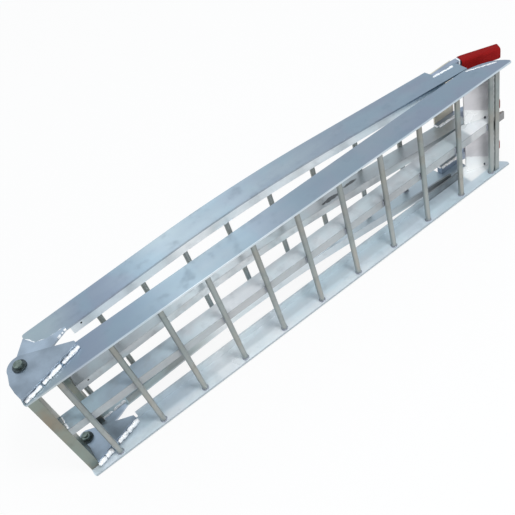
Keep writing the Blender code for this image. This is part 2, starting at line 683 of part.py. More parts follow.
def build_ramp():
    """Model every piece, hang the upper half on its pivot and place the ramp."""
    clear_scene()
    parts = new_collection("folding_loading_ramp")
    cutters = new_collection("cutters", hidden=True)
    web_low = (0.0, RAIL_WALL)
    web_top = (RAMP_WIDTH - RAIL_WALL, RAMP_WIDTH)
    flange_low = (0.0, FLANGE_HEIGHT)
    flange_top = (RAMP_WIDTH - FLANGE_HEIGHT, RAMP_WIDTH)

    lower_plates, upper_plates, low_stack, top_stack = hinge_plates(parts, cutters)
    lower = [lower_rail("left", web_low, flange_low, parts, cutters)]
    lower += [lower_middle_rail(parts, cutters)]
    lower += [lower_rail("right", web_top, flange_top, parts, cutters)]
    lower += [hinge_bar("lower_hinge_bar", GAP, TUBE_SETBACK, RAIL_DEPTH, SEAT_LOW, SEAT_TOP,
                        parts, cutters)]
    lower += lower_rungs(parts) + foot_plates(parts) + lower_plates
    lower += pivots(low_stack, top_stack, parts, cutters)

    upper = upper_rail("left", web_low, flange_low, parts, cutters)
    upper += upper_middle_rail(parts, cutters)
    upper += upper_rail("right", web_top, flange_top, parts, cutters)
    tread = tread_y(UPPER_START)
    upper += [hinge_bar("upper_hinge_bar", UPPER_START, tread - RAIL_DEPTH, tread - TUBE_SETBACK,
                        SEAT_LOW, SEAT_TOP, parts, cutters)]
    upper += upper_rungs(parts) + upper_plates + tongues(parts, cutters)
    upper += [end_plate(parts)]

    finish_meshes(lower + upper)
    paint(lower + upper)

    fold = bpy.data.objects.new("fold_axis", None)
    parts.objects.link(fold)
    fold.location = (PIVOT_X, PIVOT_Y, 0.0)
    bpy.context.view_layer.update()
    for piece in upper:
        piece.parent = fold
        piece.matrix_parent_inverse = fold.matrix_world.inverted()
    offset = place_on_origin(lower + upper, lower + [fold])
    print("origin offset", [round(value, 5) for value in offset])
    print("fold axis", [round(value, 5) for value in fold.matrix_world.translation])


build_ramp()
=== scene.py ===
"""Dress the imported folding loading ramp: metal finishes, weld beads, sleeves and a plain studio.

Lengths are metres. HOME is the lower left rail's corner at the hinge end, and the ramp's own
coordinates start there: x along the rails, y from the tread into the fold, z across the width.
"""
import math

import bmesh
import bpy
import numpy as np
from mathutils import Matrix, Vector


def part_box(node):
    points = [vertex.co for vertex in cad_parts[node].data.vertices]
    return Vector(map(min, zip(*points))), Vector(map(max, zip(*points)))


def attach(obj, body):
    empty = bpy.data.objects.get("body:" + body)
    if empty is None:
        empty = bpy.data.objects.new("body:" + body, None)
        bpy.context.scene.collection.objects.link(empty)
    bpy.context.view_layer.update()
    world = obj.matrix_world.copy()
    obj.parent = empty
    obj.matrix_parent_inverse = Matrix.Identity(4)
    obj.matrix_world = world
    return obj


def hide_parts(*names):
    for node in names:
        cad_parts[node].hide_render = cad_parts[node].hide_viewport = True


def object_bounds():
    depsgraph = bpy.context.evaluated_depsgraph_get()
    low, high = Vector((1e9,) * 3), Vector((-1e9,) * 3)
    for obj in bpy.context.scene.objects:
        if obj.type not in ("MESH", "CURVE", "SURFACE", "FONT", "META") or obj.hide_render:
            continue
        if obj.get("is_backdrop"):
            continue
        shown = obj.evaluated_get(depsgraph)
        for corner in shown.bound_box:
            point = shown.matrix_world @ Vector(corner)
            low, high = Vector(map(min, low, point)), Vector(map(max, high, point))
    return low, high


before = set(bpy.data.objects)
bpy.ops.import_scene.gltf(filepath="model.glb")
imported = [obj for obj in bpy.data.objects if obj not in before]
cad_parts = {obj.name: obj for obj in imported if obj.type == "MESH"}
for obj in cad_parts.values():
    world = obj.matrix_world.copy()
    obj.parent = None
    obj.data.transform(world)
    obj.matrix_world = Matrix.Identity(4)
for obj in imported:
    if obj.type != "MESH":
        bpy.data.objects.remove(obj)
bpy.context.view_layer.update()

bl_info = {
    "name": "Loading Ramp Dresser",
    "version": (1, 0, 0),
    "blender": (4, 5, 0),
    "location": "View3D > Sidebar > Ramp",
    "description": "Finishes, weld beads, sleeves and studio for a folding loading ramp",
    "category": "Object",
}

LOWER = "lower_half"
UPPER = "upper_half"
HOME = np.array(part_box("lower_rail_left")[0])
WIDTH = float(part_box("lower_rail_right")[1][2] - HOME[2])
RAIL_WALL = 0.004
RUNG_RADIUS = 0.006
BROKEN_EDGE = 0.0006
BEVEL_ANGLE = math.radians(40.0)
POLE = 0.000002
UP = (0.0, 0.0, 1.0)
AHEAD = (0.0, -1.0, 0.0)
TAU = 2.0 * math.pi

# Two CAD stretches of one rail: how near their corners and their caps stand to each other, and
# how squarely a cap faces along the rail.
JOINT = 0.0004
CAP_REACH = 0.0005
CAP_FACING = 0.9

# The tongues: a straight part, a bend and a tail under the sleeve.
TONGUE_STRAIGHT = 0.053
TONGUE_BEND_RADIUS = 0.100
TONGUE_BEND = math.radians(25.0)
TONGUE_TAIL = 0.0685

# The weld beads: the distance between ripples, the rate of the waver in their size, their sway
# to the sides and its rate (radians a metre), and how many sides beads and rings have.
BEAD_PITCH = 0.0042
BEAD_WAVER_RATE = 310.0
BEAD_SWAY = 0.00045
BEAD_SWAY_RATE = 430.0
BEAD_SIDES = 10
RING_TURNS = 22
RING_SIDES = 8

# What makes each bead and ring ripple in its own way: a phase for its place along X, and for
# rings along Z as well (radians a metre).
BEAD_PHASE = 900.0
RING_PHASE_X = 1700.0
RING_PHASE_Z = 900.0

# The welds at the rungs: rings just off the webs, and beads beside the middle rails' corners.
RING_RADIUS = 0.0015
RING_OFFSET = 0.0004
RING_LIFT = 0.0008
CROSSING_RADIUS = 0.0016
CROSSING_ASIDE = 0.0052
CROSSING_AHEAD = 0.0058
BEAD_MARGIN = 0.001

# The sleeves: walls, half depth, and how they widen and slant at the mouth.
SLEEVE_WALL = 0.0015
SLEEVE_INNER = 0.0049
SLEEVE_FLARE = 0.0070
SLEEVE_DEPTH = 0.0112
SLEEVE_SWELL = 0.0014
SLEEVE_MIDDLE = 0.0083
SLEEVE_SLANT = 0.0045
SLEEVE_TIP = 0.0030
SLEEVE_STATIONS = 22
SLEEVE_SIDES = 40
# Each station at the mouth and the tip: how far in from the end, and the share of the full size.
SLEEVE_RIM = ((0.007, 0.0), (0.007, 0.86), (0.004, 0.86), (0.0012, 0.87), (0.0002, 0.90),
              (0.0, 0.94), (0.0006, 0.98), (0.0016, 1.0))
SLEEVE_CAP = ((0.0026, 0.995), (0.0014, 0.975), (0.0006, 0.93), (0.0002, 0.86), (0.0, 0.72),
              (0.0, 0.0))
SLEEVE_MARGIN = 0.004
# How far along its tongue each sleeve starts.
SLEEVE_MOUTHS = {"left": 0.093, "middle": 0.093, "right": 0.0785}

# Where the colour changes on the rails, painted light and shade among it, from the first value to
# the second: the foot plates' start, the upper left rail's flange beside its web, the middle rails'
# top and the lower one's front. Then the size of a drilled hole's mark.
FOOT_START = (1.062, 1.072)
FAR_FLANGE = (0.0042, 0.0052)
TUBE_TOP = (0.147, 0.149)
TUBE_FRONT = (0.0175, 0.0195)
HOLE = 0.0024

# The studio's white paper, how much of it shows as plain white, and how far it lies under the
# ramp.
PAPER = (0.86, 0.86, 0.86)
PAPER_GLOW = 0.9
FLOOR_GAP = 0.0005

# What a drilled hole and a painted deep shadow show, and the channels of the tint over drawn metal.
BLACK = (0.01, 0.01, 0.01)
BLUISH = (0.66, 0.90, 0.96)

# The foot plates' painted shade: the distance between the bays' floors, and the line that it ends at.
FOOT_BAY = 0.1375
SHADE_END = 1.115
SHADE_LOW = 0.035
SHADE_SLOPE = 0.45


def place(points):
    """Move points from the ramp's own coordinates to the frame's."""
    return np.asarray(points, dtype=float) + HOME


def node_box(node):
    """A CAD node's lowest and highest corner in the ramp's own coordinates."""
    low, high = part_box(node)
    return np.array(low) - HOME, np.array(high) - HOME


def node_middle(node):
    """The middle of a CAD node's box in the ramp's own coordinates."""
    low, high = node_box(node)
    return (low + high) / 2.0


def named(*starts):
    """The CAD nodes whose names start with one of these words, in order."""
    return sorted(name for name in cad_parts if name.startswith(starts))


class Wire:
    """A socket whose arithmetic adds Math nodes to its material."""

    def __init__(self, paint, socket):
        self.paint = paint
        self.socket = socket

    def math(self, operation, *values):
        """A Math node on this value and the others."""
        settings = {"operation": operation}
        return self.paint.node("ShaderNodeMath", settings, dict(enumerate((self, *values))))

    def __add__(self, other):
        return self.math("ADD", other)

    __radd__ = __add__

    def __mul__(self, other):
        return self.math("MULTIPLY", other)

    __rmul__ = __mul__

    def __sub__(self, other):
        return self.math("SUBTRACT", other)

    def __rsub__(self, other):
        return self.paint.node("ShaderNodeMath", {"operation": "SUBTRACT"}, {0: other, 1: self})

    def __pow__(self, other):
        return self.math("POWER", other)

    def over(self, other):
        """The larger of two values."""
        return self.math("MAXIMUM", other)

    def clamp(self):
        """The value kept from 0 to 1."""
        return self.math("MINIMUM", 1.0).over(0.0)

    def bound(self, low, high):
        """Fit the value between 0 and 1 as it goes from low to high, smoothly."""
        sockets = {"Value": self, "From Min": low, "From Max": high}
        return self.paint.node("ShaderNodeMapRange", {"interpolation_type": "SMOOTHSTEP"}, sockets)


class Nodes:
    """Adds nodes to a node tree."""

    def __init__(self, tree):
        self.tree = tree

    def link(self, value, socket):
        """Wire a Wire, or set a number, colour or vector, on a socket."""
        if isinstance(value, Wire):
            self.tree.links.new(value.socket, socket)
        elif hasattr(socket.default_value, "__len__") and len(value) < len(socket.default_value):
            socket.default_value = (*value, 1.0)
        else:
            socket.default_value = value

    def node(self, kind, settings=None, values=None, out=0):
        """Add a node, set it up, fill its sockets and give one output."""
        made = self.tree.nodes.new(kind)
        for name, value in (settings or {}).items():
            setattr(made, name, value)
        for name, value in (values or {}).items():
            self.link(value, made.inputs[name])
        return Wire(self, made.outputs[out])

    def blend(self, factor, first, second):
        """A colour between two colours."""
        settings = {"data_type": "RGBA"}
        return self.node("ShaderNodeMix", settings, {0: factor, 6: first, 7: second}, 2)


class Paint(Nodes):
    """A material's nodes: patterns in, one Principled shader out."""

    def __init__(self, name, **fixed):
        self.material = bpy.data.materials.new(name)
        self.material.use_nodes = True
        super().__init__(self.material.node_tree)
        self.shader = self.tree.nodes["Principled BSDF"]
        for socket, value in fixed.items():
            self.link(value, self.shader.inputs[socket.replace("_", " ")])

    def place(self, scale=(1.0, 1.0, 1.0), location=(0.0, 0.0, 0.0)):
        """Object coordinates, stretched and moved by a Mapping node."""
        where = self.node("ShaderNodeTexCoord", out="Object")
        sockets = {"Vector": where, "Scale": scale, "Location": location}
        return self.node("ShaderNodeMapping", None, sockets)

    def axis(self, name):
        """One of the ramp's own coordinates as a number."""
        where = self.node("ShaderNodeTexCoord", out="Object")
        whole = self.node("ShaderNodeSeparateXYZ", None, {"Vector": where}, name)
        return whole - float(HOME["XYZ".index(name)])

    def noise(self, scale, stretch=(1.0, 1.0, 1.0), detail=2.0, shift=(0.0, 0.0, 0.0)):
        """Noise from 0 to 1 in Object coordinates."""
        sockets = {"Vector": self.place(stretch, shift), "Scale": scale, "Detail": detail}
        return self.node("ShaderNodeTexNoise", None, sockets)

    def drawn(self, along, across, lengthwise, detail, shift=(0.0, 0.0, 0.0)):
        """Noise drawn out along one axis: its scale across that axis and along it."""
        stretch = tuple(lengthwise if axis == along else across for axis in "xyz")
        return self.noise(1.0, stretch, detail, shift)

    def bump(self, height, strength, distance):
        """A Bump node's normal, for the shader."""
        sockets = {"Height": height, "Strength": strength, "Distance": distance}
        return self.node("ShaderNodeBump", None, sockets)

    def feed(self, **wires):
        """Wire values into the shader, and give the finished material."""
        for socket, value in wires.items():
            self.link(value, self.shader.inputs[socket.replace("_", " ")])
        return self.material


def tinted(color, gain):
    """A colour made lighter or darker by one factor."""
    return tuple(min(channel * gain, 1.0) for channel in color)


def painted_highlight(paint, look):
    """A painted highlight along the rails: 1 at its place along X, 0 far from it.

    g(x) = smoothstep(x from place - rise to place)^1.5 x (1 - (x - place) / fall)^1.7.
    """
    x = paint.axis("X") - look.highlight_place
    rise = x.bound(-look.highlight_rise, 0.0) ** 1.5
    fall = (1.0 - x * (1.0 / look.highlight_fall)).clamp() ** 1.7
    return rise * fall


def blot(paint, waver=0.0, **axes):
    """A round or oval mark, 1 inside; axes holds the middle and reach on each axis.

    m = smoothstep from 1 to 0.5 of the sum of ((place - middle) / reach)^2, and waver times
    noise makes its outline uneven.
    """
    total = (paint.noise(70.0, detail=3.0) - 0.5) * waver
    for name, (middle, reach) in axes.items():
        share = (paint.axis(name) - middle) * (1.0 / reach)
        total = share * share + total
    return total.bound(1.0, 0.5)


def sheen_and_wear_pattern(paint, look, clouds, bands, extra):
    """How bright the metal is, from 0 to 1: the painted highlight in patches, with the metal's own clouds
    and drawn bands.

    w = 0.9 x the larger of highlight x (0.62 + patches / 2) and extra, plus or minus shares of the
    clouds, bands and patches.
    """
    patches = paint.noise(3.4, detail=3.0, shift=(1.7, 0.9, 2.6)).bound(0.38, 0.64)
    # Painted highlight in patches, raised where the piece's extra brightening is larger.
    painted_sheen = painted_highlight(paint, look) * (patches * 0.5 + 0.62)
    if extra is not None:
        painted_sheen = painted_sheen.over(extra(paint))
    sheen_and_wear = painted_sheen * 0.90 + (clouds - 0.5) * 0.20 + (bands - 0.5) * 0.42 + patches * 0.08
    return sheen_and_wear.clamp()


def drawn_metal(name, look, dull, bright, along="x", metallic=1.0, roughness=0.36,
                extra=None, shaded=None, others=(), hole=None, smudged=0.40):
    """Extruded aluminium: dull towards its ends, a painted highlight in the middle, with fine lines and
    clouds.

    Base = blend(dull, bright by the sheen and wear), with a faint bluish tint and dark smudges where it
    is dull; roughness rises in smudges and clouds; bump = fine lines along the extrusion. extra is
    a pattern from 0 to 1 that brightens the metal where a piece has it, such as the painted light
    along a web's edge, and shaded one that darkens a face, such as painted shade. Each of others is
    a pattern with the dull and bright colours that it switches to, the black pattern marks drilled
    holes and painted shadow, and smudged is how strong the smudges are.
    """
    paint = Paint(name, Metallic=metallic)
    lines = paint.drawn(along, across=800.0, lengthwise=2.0, detail=3.0)
    bands = paint.drawn(along, across=42.0, lengthwise=1.5, detail=2.0, shift=(3.1, 0.7, 1.9))
    clouds = paint.noise(9.0, detail=4.0, shift=(0.4, 0.2, 0.9)).bound(0.34, 0.66)
    smudges = paint.noise(38.0, detail=5.0, shift=(1.4, 2.2, 0.3)).bound(0.50, 0.76)
    tint = paint.noise(13.0, detail=3.0, shift=(2.9, 1.3, 0.6)).bound(0.40, 0.62)
    sheen_and_wear = sheen_and_wear_pattern(paint, look, clouds, bands, extra)
    # The bright colour where the painted highlight, painted light and the metal's tone lie.
    base = paint.blend(sheen_and_wear, dull, bright)
    for pattern, low, high in others:
        base = paint.blend(pattern(paint), base, paint.blend(sheen_and_wear, low, high))
    bluish = tuple(channel * share for channel, share in zip(bright, BLUISH))
    base = paint.blend(tint * (1.0 - sheen_and_wear * 0.6) * 0.25, base, bluish)
    base = paint.blend(smudges * (1.0 - sheen_and_wear * 0.5) * smudged, base, tinted(dull, 0.66))
    # Painted shade where the shaded pattern says.
    if shaded is not None:
        base = paint.blend(shaded(paint), base, tinted(dull, 0.55))
    # Black at drilled holes and at painted shadow.
    if hole is not None:
        base = paint.blend(hole(paint), base, BLACK)
    rough = clouds * 0.08 + (roughness - 0.05) + smudges * 0.12 - sheen_and_wear * 0.06
    normal = paint.bump(lines * 0.7 + bands, 0.16, 0.0005)
    return paint.feed(Base_Color=base, Roughness=rough, Normal=normal)


def plate_metal(name, color, roughness, metallic=1.0):
    """Rolled plate: faint crossing rubs, clouds and small dark marks.

    Base = colour x clouds, darkened at sparse specks; roughness follows the rubs.
    """
    paint = Paint(name, Metallic=metallic)
    clouds = paint.noise(24.0, detail=4.0, shift=(0.6, 1.2, 0.2))
    rubs = paint.noise(1.0, (140.0, 22.0, 60.0), 3.0)
    specks = paint.noise(210.0, detail=2.0).bound(0.71, 0.78)
    base = paint.blend(clouds.bound(0.3, 0.7), tinted(color, 0.84), tinted(color, 1.16))
    base = paint.blend(specks * 0.45, base, tinted(color, 0.35))
    rough = rubs * 0.16 + clouds * 0.10 + (roughness - 0.12)
    normal = paint.bump(rubs + specks * 0.5, 0.14, 0.0004)
    return paint.feed(Base_Color=base, Roughness=rough, Normal=normal)


def foot_sheet(name, shade_gray, bright):
    """Foot plate: painted light near each bay's floor, with gray painted shade above a slanting line.

    h = height over the bay's floor - (the line's low + its slope x (its end - x)), made uneven by
    noise; base = blend(bright, gray) where h passes zero, and the shaded part is rougher.
    """
    paint = Paint(name)
    height = (paint.axis("Z") - RAIL_WALL).math("MODULO", FOOT_BAY)
    line = (SHADE_END - paint.axis("X")) * SHADE_SLOPE + SHADE_LOW
    waver = (paint.noise(60.0, detail=3.0) - 0.5) * 0.006
    # Where the painted shade lies, above a slanting line over the bay's floor.
    above = (height - line + waver).bound(-0.0025, 0.0025)
    clouds = paint.noise(26.0, detail=4.0, shift=(0.6, 1.2, 0.2)).bound(0.3, 0.7)
    gray = paint.blend(clouds, tinted(shade_gray, 0.88), tinted(shade_gray, 1.12))
    base = paint.blend(above, bright, gray)
    rough = above * 0.16 + clouds * 0.08 + 0.20
    metal = above * 0.10 + 0.15
    normal = paint.bump(clouds, 0.05, 0.0003)
    return paint.feed(Base_Color=base, Metallic=metal, Roughness=rough, Normal=normal)


def weld_metal(name, color):
    """Weld bead: bright crests and dull, slightly sooty hollows."""
    paint = Paint(name, Metallic=0.25)
    grain = paint.noise(420.0, detail=3.0)
    soot = paint.noise(120.0, detail=3.0, shift=(2.0, 0.4, 1.1)).bound(0.54, 0.70)
    base = paint.blend(soot * 0.6, color, tinted(color, 0.36))
    rough = grain * 0.2 + 0.22 + soot * 0.15
    normal = paint.bump(grain, 0.3, 0.0006)
    return paint.feed(Base_Color=base, Roughness=rough, Normal=normal)


def plated_steel(name, color, roughness):
    """Zinc plated or blackened steel: cloudy tone and dull patches."""
    paint = Paint(name, Metallic=1.0)
    clouds = paint.noise(130.0, detail=3.0)
    base = paint.blend(clouds.bound(0.35, 0.7), tinted(color, 0.7), tinted(color, 1.25))
    rough = clouds * 0.2 + (roughness - 0.1)
    return paint.feed(Base_Color=base, Roughness=rough, Normal=paint.bump(clouds, 0.15, 0.0004))


def red_vinyl(name, color):
    """Dipped vinyl: a soft orange-peel skin, duller and darker where it is handled."""
    paint = Paint(name, Metallic=0.0, Specular_IOR_Level=0.03)
    peel = paint.noise(520.0, detail=2.0)
    rubbed = paint.noise(46.0, detail=4.0, shift=(0.3, 0.8, 0.1)).bound(0.42, 0.7)
    base = paint.blend(rubbed * 0.45, color, tinted(color, 0.66))
    rough = rubbed * 0.16 + peel * 0.06 + 0.40
    return paint.feed(Base_Color=base, Roughness=rough, Normal=paint.bump(peel, 0.12, 0.0004))


def add(name, data):
    """Add an object to the scene."""
    obj = bpy.data.objects.new(name, data)
    bpy.context.scene.collection.objects.link(obj)
    return obj


def surface(name, grids, wrap_rows=False):
    """One mesh object from grids of points, shape (copies, rows, columns, 3).

    Each cell of a grid is one quad; the columns close on themselves, and the rows where
    wrap_rows says so. Doubles at poles are merged and the closed shells' faces turned outwards.
    """
    copies, rows, columns = grids.shape[:3]
    row = np.arange(rows if wrap_rows else rows - 1)[:, None]
    column = np.arange(columns)[None, :]
    above, right = (row + 1) % rows, (column + 1) % columns
    corner = [row * columns + column, row * columns + right,
              above * columns + right, above * columns + column]
    start = np.arange(copies)[:, None, None, None] * rows * columns
    faces = (start + np.stack(corner, axis=-1)).reshape(-1, 4)
    mesh = bpy.data.meshes.new(name)
    mesh.from_pydata(place(grids.reshape(-1, 3)).tolist(), [], faces.tolist())
    shell = bmesh.new()
    shell.from_mesh(mesh)
    bmesh.ops.remove_doubles(shell, verts=shell.verts, dist=POLE)
    bmesh.ops.recalc_face_normals(shell, faces=shell.faces)
    shell.to_mesh(mesh)
    shell.free()
    mesh.polygons.foreach_set("use_smooth", [True] * len(mesh.polygons))
    return add(name, mesh)


def dress(obj, body, material):
    """Give a new piece its material, its body and the slot of its finish."""
    obj.data.materials.append(material)
    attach(obj, body)
    return obj


def soften(obj, edge):
    """Break an object's sharp edges with a bevel."""
    bevel = obj.modifiers.new("broken_edges", "BEVEL")
    bevel.width = edge
    bevel.segments = 2
    bevel.limit_method = "ANGLE"
    bevel.angle_limit = BEVEL_ANGLE


def finish(nodes, material, edge=BROKEN_EDGE):
    """Give CAD nodes one material, and break their sharp edges with a bevel."""
    for name in nodes:
        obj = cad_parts[name]
        obj.data.materials.clear()
        obj.data.materials.append(material)
        soften(obj, edge)


def stitch(shell):
    """Close a joint between two sections of different outline.

    An open edge gets a vertex where another open corner lies on it, so that the two sides fall
    together, and what stays open is filled. The corners are kept in the order of their edges, so
    that each run gives the same mesh.
    """
    edges = [edge for edge in shell.edges if edge.is_boundary]
    corners = list(dict.fromkeys(corner for edge in edges for corner in edge.verts))
    for edge in edges:
        ends = tuple(edge.verts)
        start, reach = ends[0].co.copy(), ends[1].co - ends[0].co
        for corner in (other for other in corners if other not in ends):
            share = (corner.co - start).dot(reach) / reach.length_squared
            if 0.0 < share < 1.0 and (start + reach * share - corner.co).length < JOINT:
                bmesh.utils.edge_split(edge, ends[0], share)
                break
    bmesh.ops.remove_doubles(shell, verts=shell.verts, dist=JOINT)
    bmesh.ops.holes_fill(shell, edges=[edge for edge in shell.edges if edge.is_boundary])


def whole_rail(name, nodes):
    """One upper rail from its CAD stretches, as the real rail is one extrusion.

    The end caps that face each other across a 0.3 mm joint fall together and are taken out.
    """
    shell = bmesh.new()
    for node in nodes:
        shell.from_mesh(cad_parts[node].data)
    ends = sorted(float(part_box(node)[1][0]) for node in nodes)[:-1]
    bmesh.ops.remove_doubles(shell, verts=shell.verts, dist=JOINT)
    caps = [face for face in shell.faces if abs(face.normal.x) > CAP_FACING
            and any(abs(face.calc_center_median().x - end) < CAP_REACH for end in ends)]
    bmesh.ops.delete(shell, geom=caps, context="FACES")
    stitch(shell)
    bmesh.ops.recalc_face_normals(shell, faces=shell.faces)
    mesh = bpy.data.meshes.new(name)
    shell.to_mesh(mesh)
    shell.free()
    return add(name, mesh)


def sweep(path, side, lift, radius):
    """Points of a round tube carried along a path, shape (stations, BEAD_SIDES, 3).

    P(u, v) = path(u) + radius(u) x (cos v x side + sin v x lift).
    """
    angle = (np.arange(BEAD_SIDES) * TAU / BEAD_SIDES)[:, None]
    turn = np.cos(angle) * side + np.sin(angle) * lift
    return path[:, None, :] + radius[:, None, None] * turn


def bead(start, end, lift, radius, tall=1.0):
    """A weld bead from start to end: a rippled tube whose ends round off.

    radius(s) = r x (1 - |2s/L - 1|^8)^0.5 x (0.9 + 0.22 |sin(pi s / BEAD_PITCH)|), with a slow
    waver; it is tall times as high along lift as it is wide.
    """
    start, end, lift = (np.asarray(value, dtype=float) for value in (start, end, lift))
    length = float(np.linalg.norm(end - start))
    u = np.linspace(0.0, 1.0, max(int(length / BEAD_PITCH * 3.0), 8))
    along = (end - start) / length
    lift = lift - along * float(lift @ along)
    lift = lift / np.linalg.norm(lift)
    side = np.cross(along, lift)
    ripple = 0.9 + 0.22 * np.abs(np.sin(math.pi * u * length / BEAD_PITCH))
    waver = 1.0 + 0.10 * np.sin(u * length * BEAD_WAVER_RATE + start[0] * BEAD_PHASE)
    size = radius * np.sqrt(np.clip(1.0 - np.abs(2.0 * u - 1.0) ** 8, 0.0, 1.0)) * ripple * waver
    path = start + u[:, None] * (end - start)
    path = path + BEAD_SWAY * np.sin(u * length * BEAD_SWAY_RATE)[:, None] * side
    return sweep(path, side, lift * tall, size)


def seam(start, end, lift, runs, tall=1.0):
    """Beads on one edge; runs holds (from, to, radius), with places as shares of the edge."""
    start, end = np.asarray(start, dtype=float), np.asarray(end, dtype=float)
    reach = end - start
    return [bead(start + reach * first, start + reach * last, lift, radius, tall)
            for first, last, radius in runs]


def level_seam(start, end, z, runs, tall=1.0):
    """A seam at one height, with its ends in X and Y and its beads lifted upwards."""
    return seam((*start, z), (*end, z), UP, runs, tall)


def tongue_path(s):
    """Points and outward directions of a tongue's tread face in X and Y, at lengths s along it.

    Straight for TONGUE_STRAIGHT, then an arc of TONGUE_BEND_RADIUS through TONGUE_BEND towards
    -Y, then straight on.
    """
    low, high = node_box("tongue_right")
    bend = np.clip(s - TONGUE_STRAIGHT, 0.0, TONGUE_BEND_RADIUS * TONGUE_BEND) / TONGUE_BEND_RADIUS
    tail = np.maximum(s - TONGUE_STRAIGHT - TONGUE_BEND_RADIUS * TONGUE_BEND, 0.0)
    x = low[0] + np.minimum(s, TONGUE_STRAIGHT) + TONGUE_BEND_RADIUS * np.sin(bend)
    y = high[1] - TONGUE_BEND_RADIUS * (1.0 - np.cos(bend))
    points = np.stack([x + tail * math.cos(TONGUE_BEND), y - tail * math.sin(TONGUE_BEND)], axis=-1)
    return points, np.stack([np.sin(bend), np.cos(bend)], axis=-1)


def sleeve_skin(node, out, mouth):
    """A dipped sleeve round a tongue's end, shape (1, stations, SLEEVE_SIDES, 3).

    P(s, v) = path(s) + outward(s) x (hy(s) c - SLEEVE_MIDDLE) + Z x (hz(s) d + mid z(s)), with
    (c, d) = a superellipse of order 6 in v. The mouth is cut slanting, flares towards the
    ramp's inside, turns in under its rim and closes round the tongue; the far end rounds off to
    a pole. out is 1 where the tongue's outer side faces +Z and -1 where it faces -Z; mouth is
    where the sleeve starts.
    """
    low, high = node_box(node)
    reach = TONGUE_STRAIGHT + TONGUE_BEND_RADIUS * TONGUE_BEND + TONGUE_TAIL + SLEEVE_TIP - mouth
    rim_in, rim_size = np.array(SLEEVE_RIM).T
    cap_in, cap_size = np.array(SLEEVE_CAP).T
    body = np.linspace(SLEEVE_MARGIN, reach - SLEEVE_MARGIN, SLEEVE_STATIONS)
    along = np.concatenate([rim_in, body, reach - cap_in])
    scale = np.concatenate([rim_size, np.ones(SLEEVE_STATIONS), cap_size])
    near = 1.0 - np.clip(along / reach, 0.0, 1.0)
    inner = SLEEVE_INNER + SLEEVE_FLARE * near
    half_z = (high[2] - low[2] + SLEEVE_WALL + inner) / 2.0
    outer_z = high[2] + SLEEVE_WALL if out > 0 else low[2] - SLEEVE_WALL
    middle_z = outer_z - out * half_z
    half_y = SLEEVE_DEPTH + SLEEVE_SWELL * near ** 2
    angle = np.arange(SLEEVE_SIDES) * TAU / SLEEVE_SIDES
    c, d = (np.sign(wave) * np.abs(wave) ** (1.0 / 3.0) for wave in (np.cos(angle), np.sin(angle)))
    slant = SLEEVE_SLANT * (1.0 - out * d)[None, :] * (near ** 2 * np.sign(scale))[:, None]
    points, outward = tongue_path(mouth + along[:, None] - slant)
    offset = (half_y * scale)[:, None] * c[None, :] - SLEEVE_MIDDLE
    flat = points + outward * offset[..., None]
    z = middle_z[:, None] + (half_z * scale)[:, None] * d[None, :]
    return np.concatenate([flat, z[..., None]], axis=-1)[None]


def lay(name, beads, body, metal):
    """Make one piece of several beads."""
    dress(surface(name, even(beads)), body, metal)


def ring_beads(centers, ring, radius):
    """Weld rings round rung feet, shape (copies, RING_TURNS, RING_SIDES, 3).

    P = centre + (R + r(u) cos v) x (cos u, sin u, 0) + (0, 0, r(u) sin v), where r(u) ripples
    in its own way at each foot.
    """
    centers = np.asarray(centers, dtype=float)
    x, y, z = (centers[:, axis, None, None] for axis in range(3))
    u = (np.arange(RING_TURNS) * TAU / RING_TURNS)[None, :, None]
    v = (np.arange(RING_SIDES) * TAU / RING_SIDES)[None, None, :]
    phase = x * RING_PHASE_X + z * RING_PHASE_Z
    size = radius * (1.0 + 0.16 * np.sin(5.0 * u + phase))
    size = size * (1.0 + 0.12 * np.sin(2.0 * u + 2.3 * phase))
    reach = ring + size * np.cos(v)
    rings = (x + reach * np.cos(u), y + reach * np.sin(u), z + size * np.sin(v))
    return np.stack(rings, axis=-1)


def even(grids):
    """Beads with different station counts, resampled to one count and stacked."""
    rows = max(grid.shape[0] for grid in grids)
    u = np.linspace(0.0, 1.0, rows)
    out = []
    for grid in grids:
        old = np.linspace(0.0, 1.0, grid.shape[0])
        flat = grid.reshape(grid.shape[0], -1)
        new = np.stack([np.interp(u, old, flat[:, column]) for column in range(flat.shape[1])], axis=1)
        out.append(new.reshape(rows, *grid.shape[1:]))
    return np.stack(out)


def tones(look, finish_name):
    """A finish's dull and bright colours, from the settings."""
    return tuple(getattr(look, finish_name + "_dull")), tuple(getattr(look, finish_name + "_bright"))


def shade(name, description, color):
    """A colour setting."""
    return bpy.props.FloatVectorProperty(name=name, description=description, subtype="COLOR", default=color)


def length(name, description, value):
    """A length setting in metres."""
    return bpy.props.FloatProperty(name=name, description=description, unit="LENGTH", default=value)


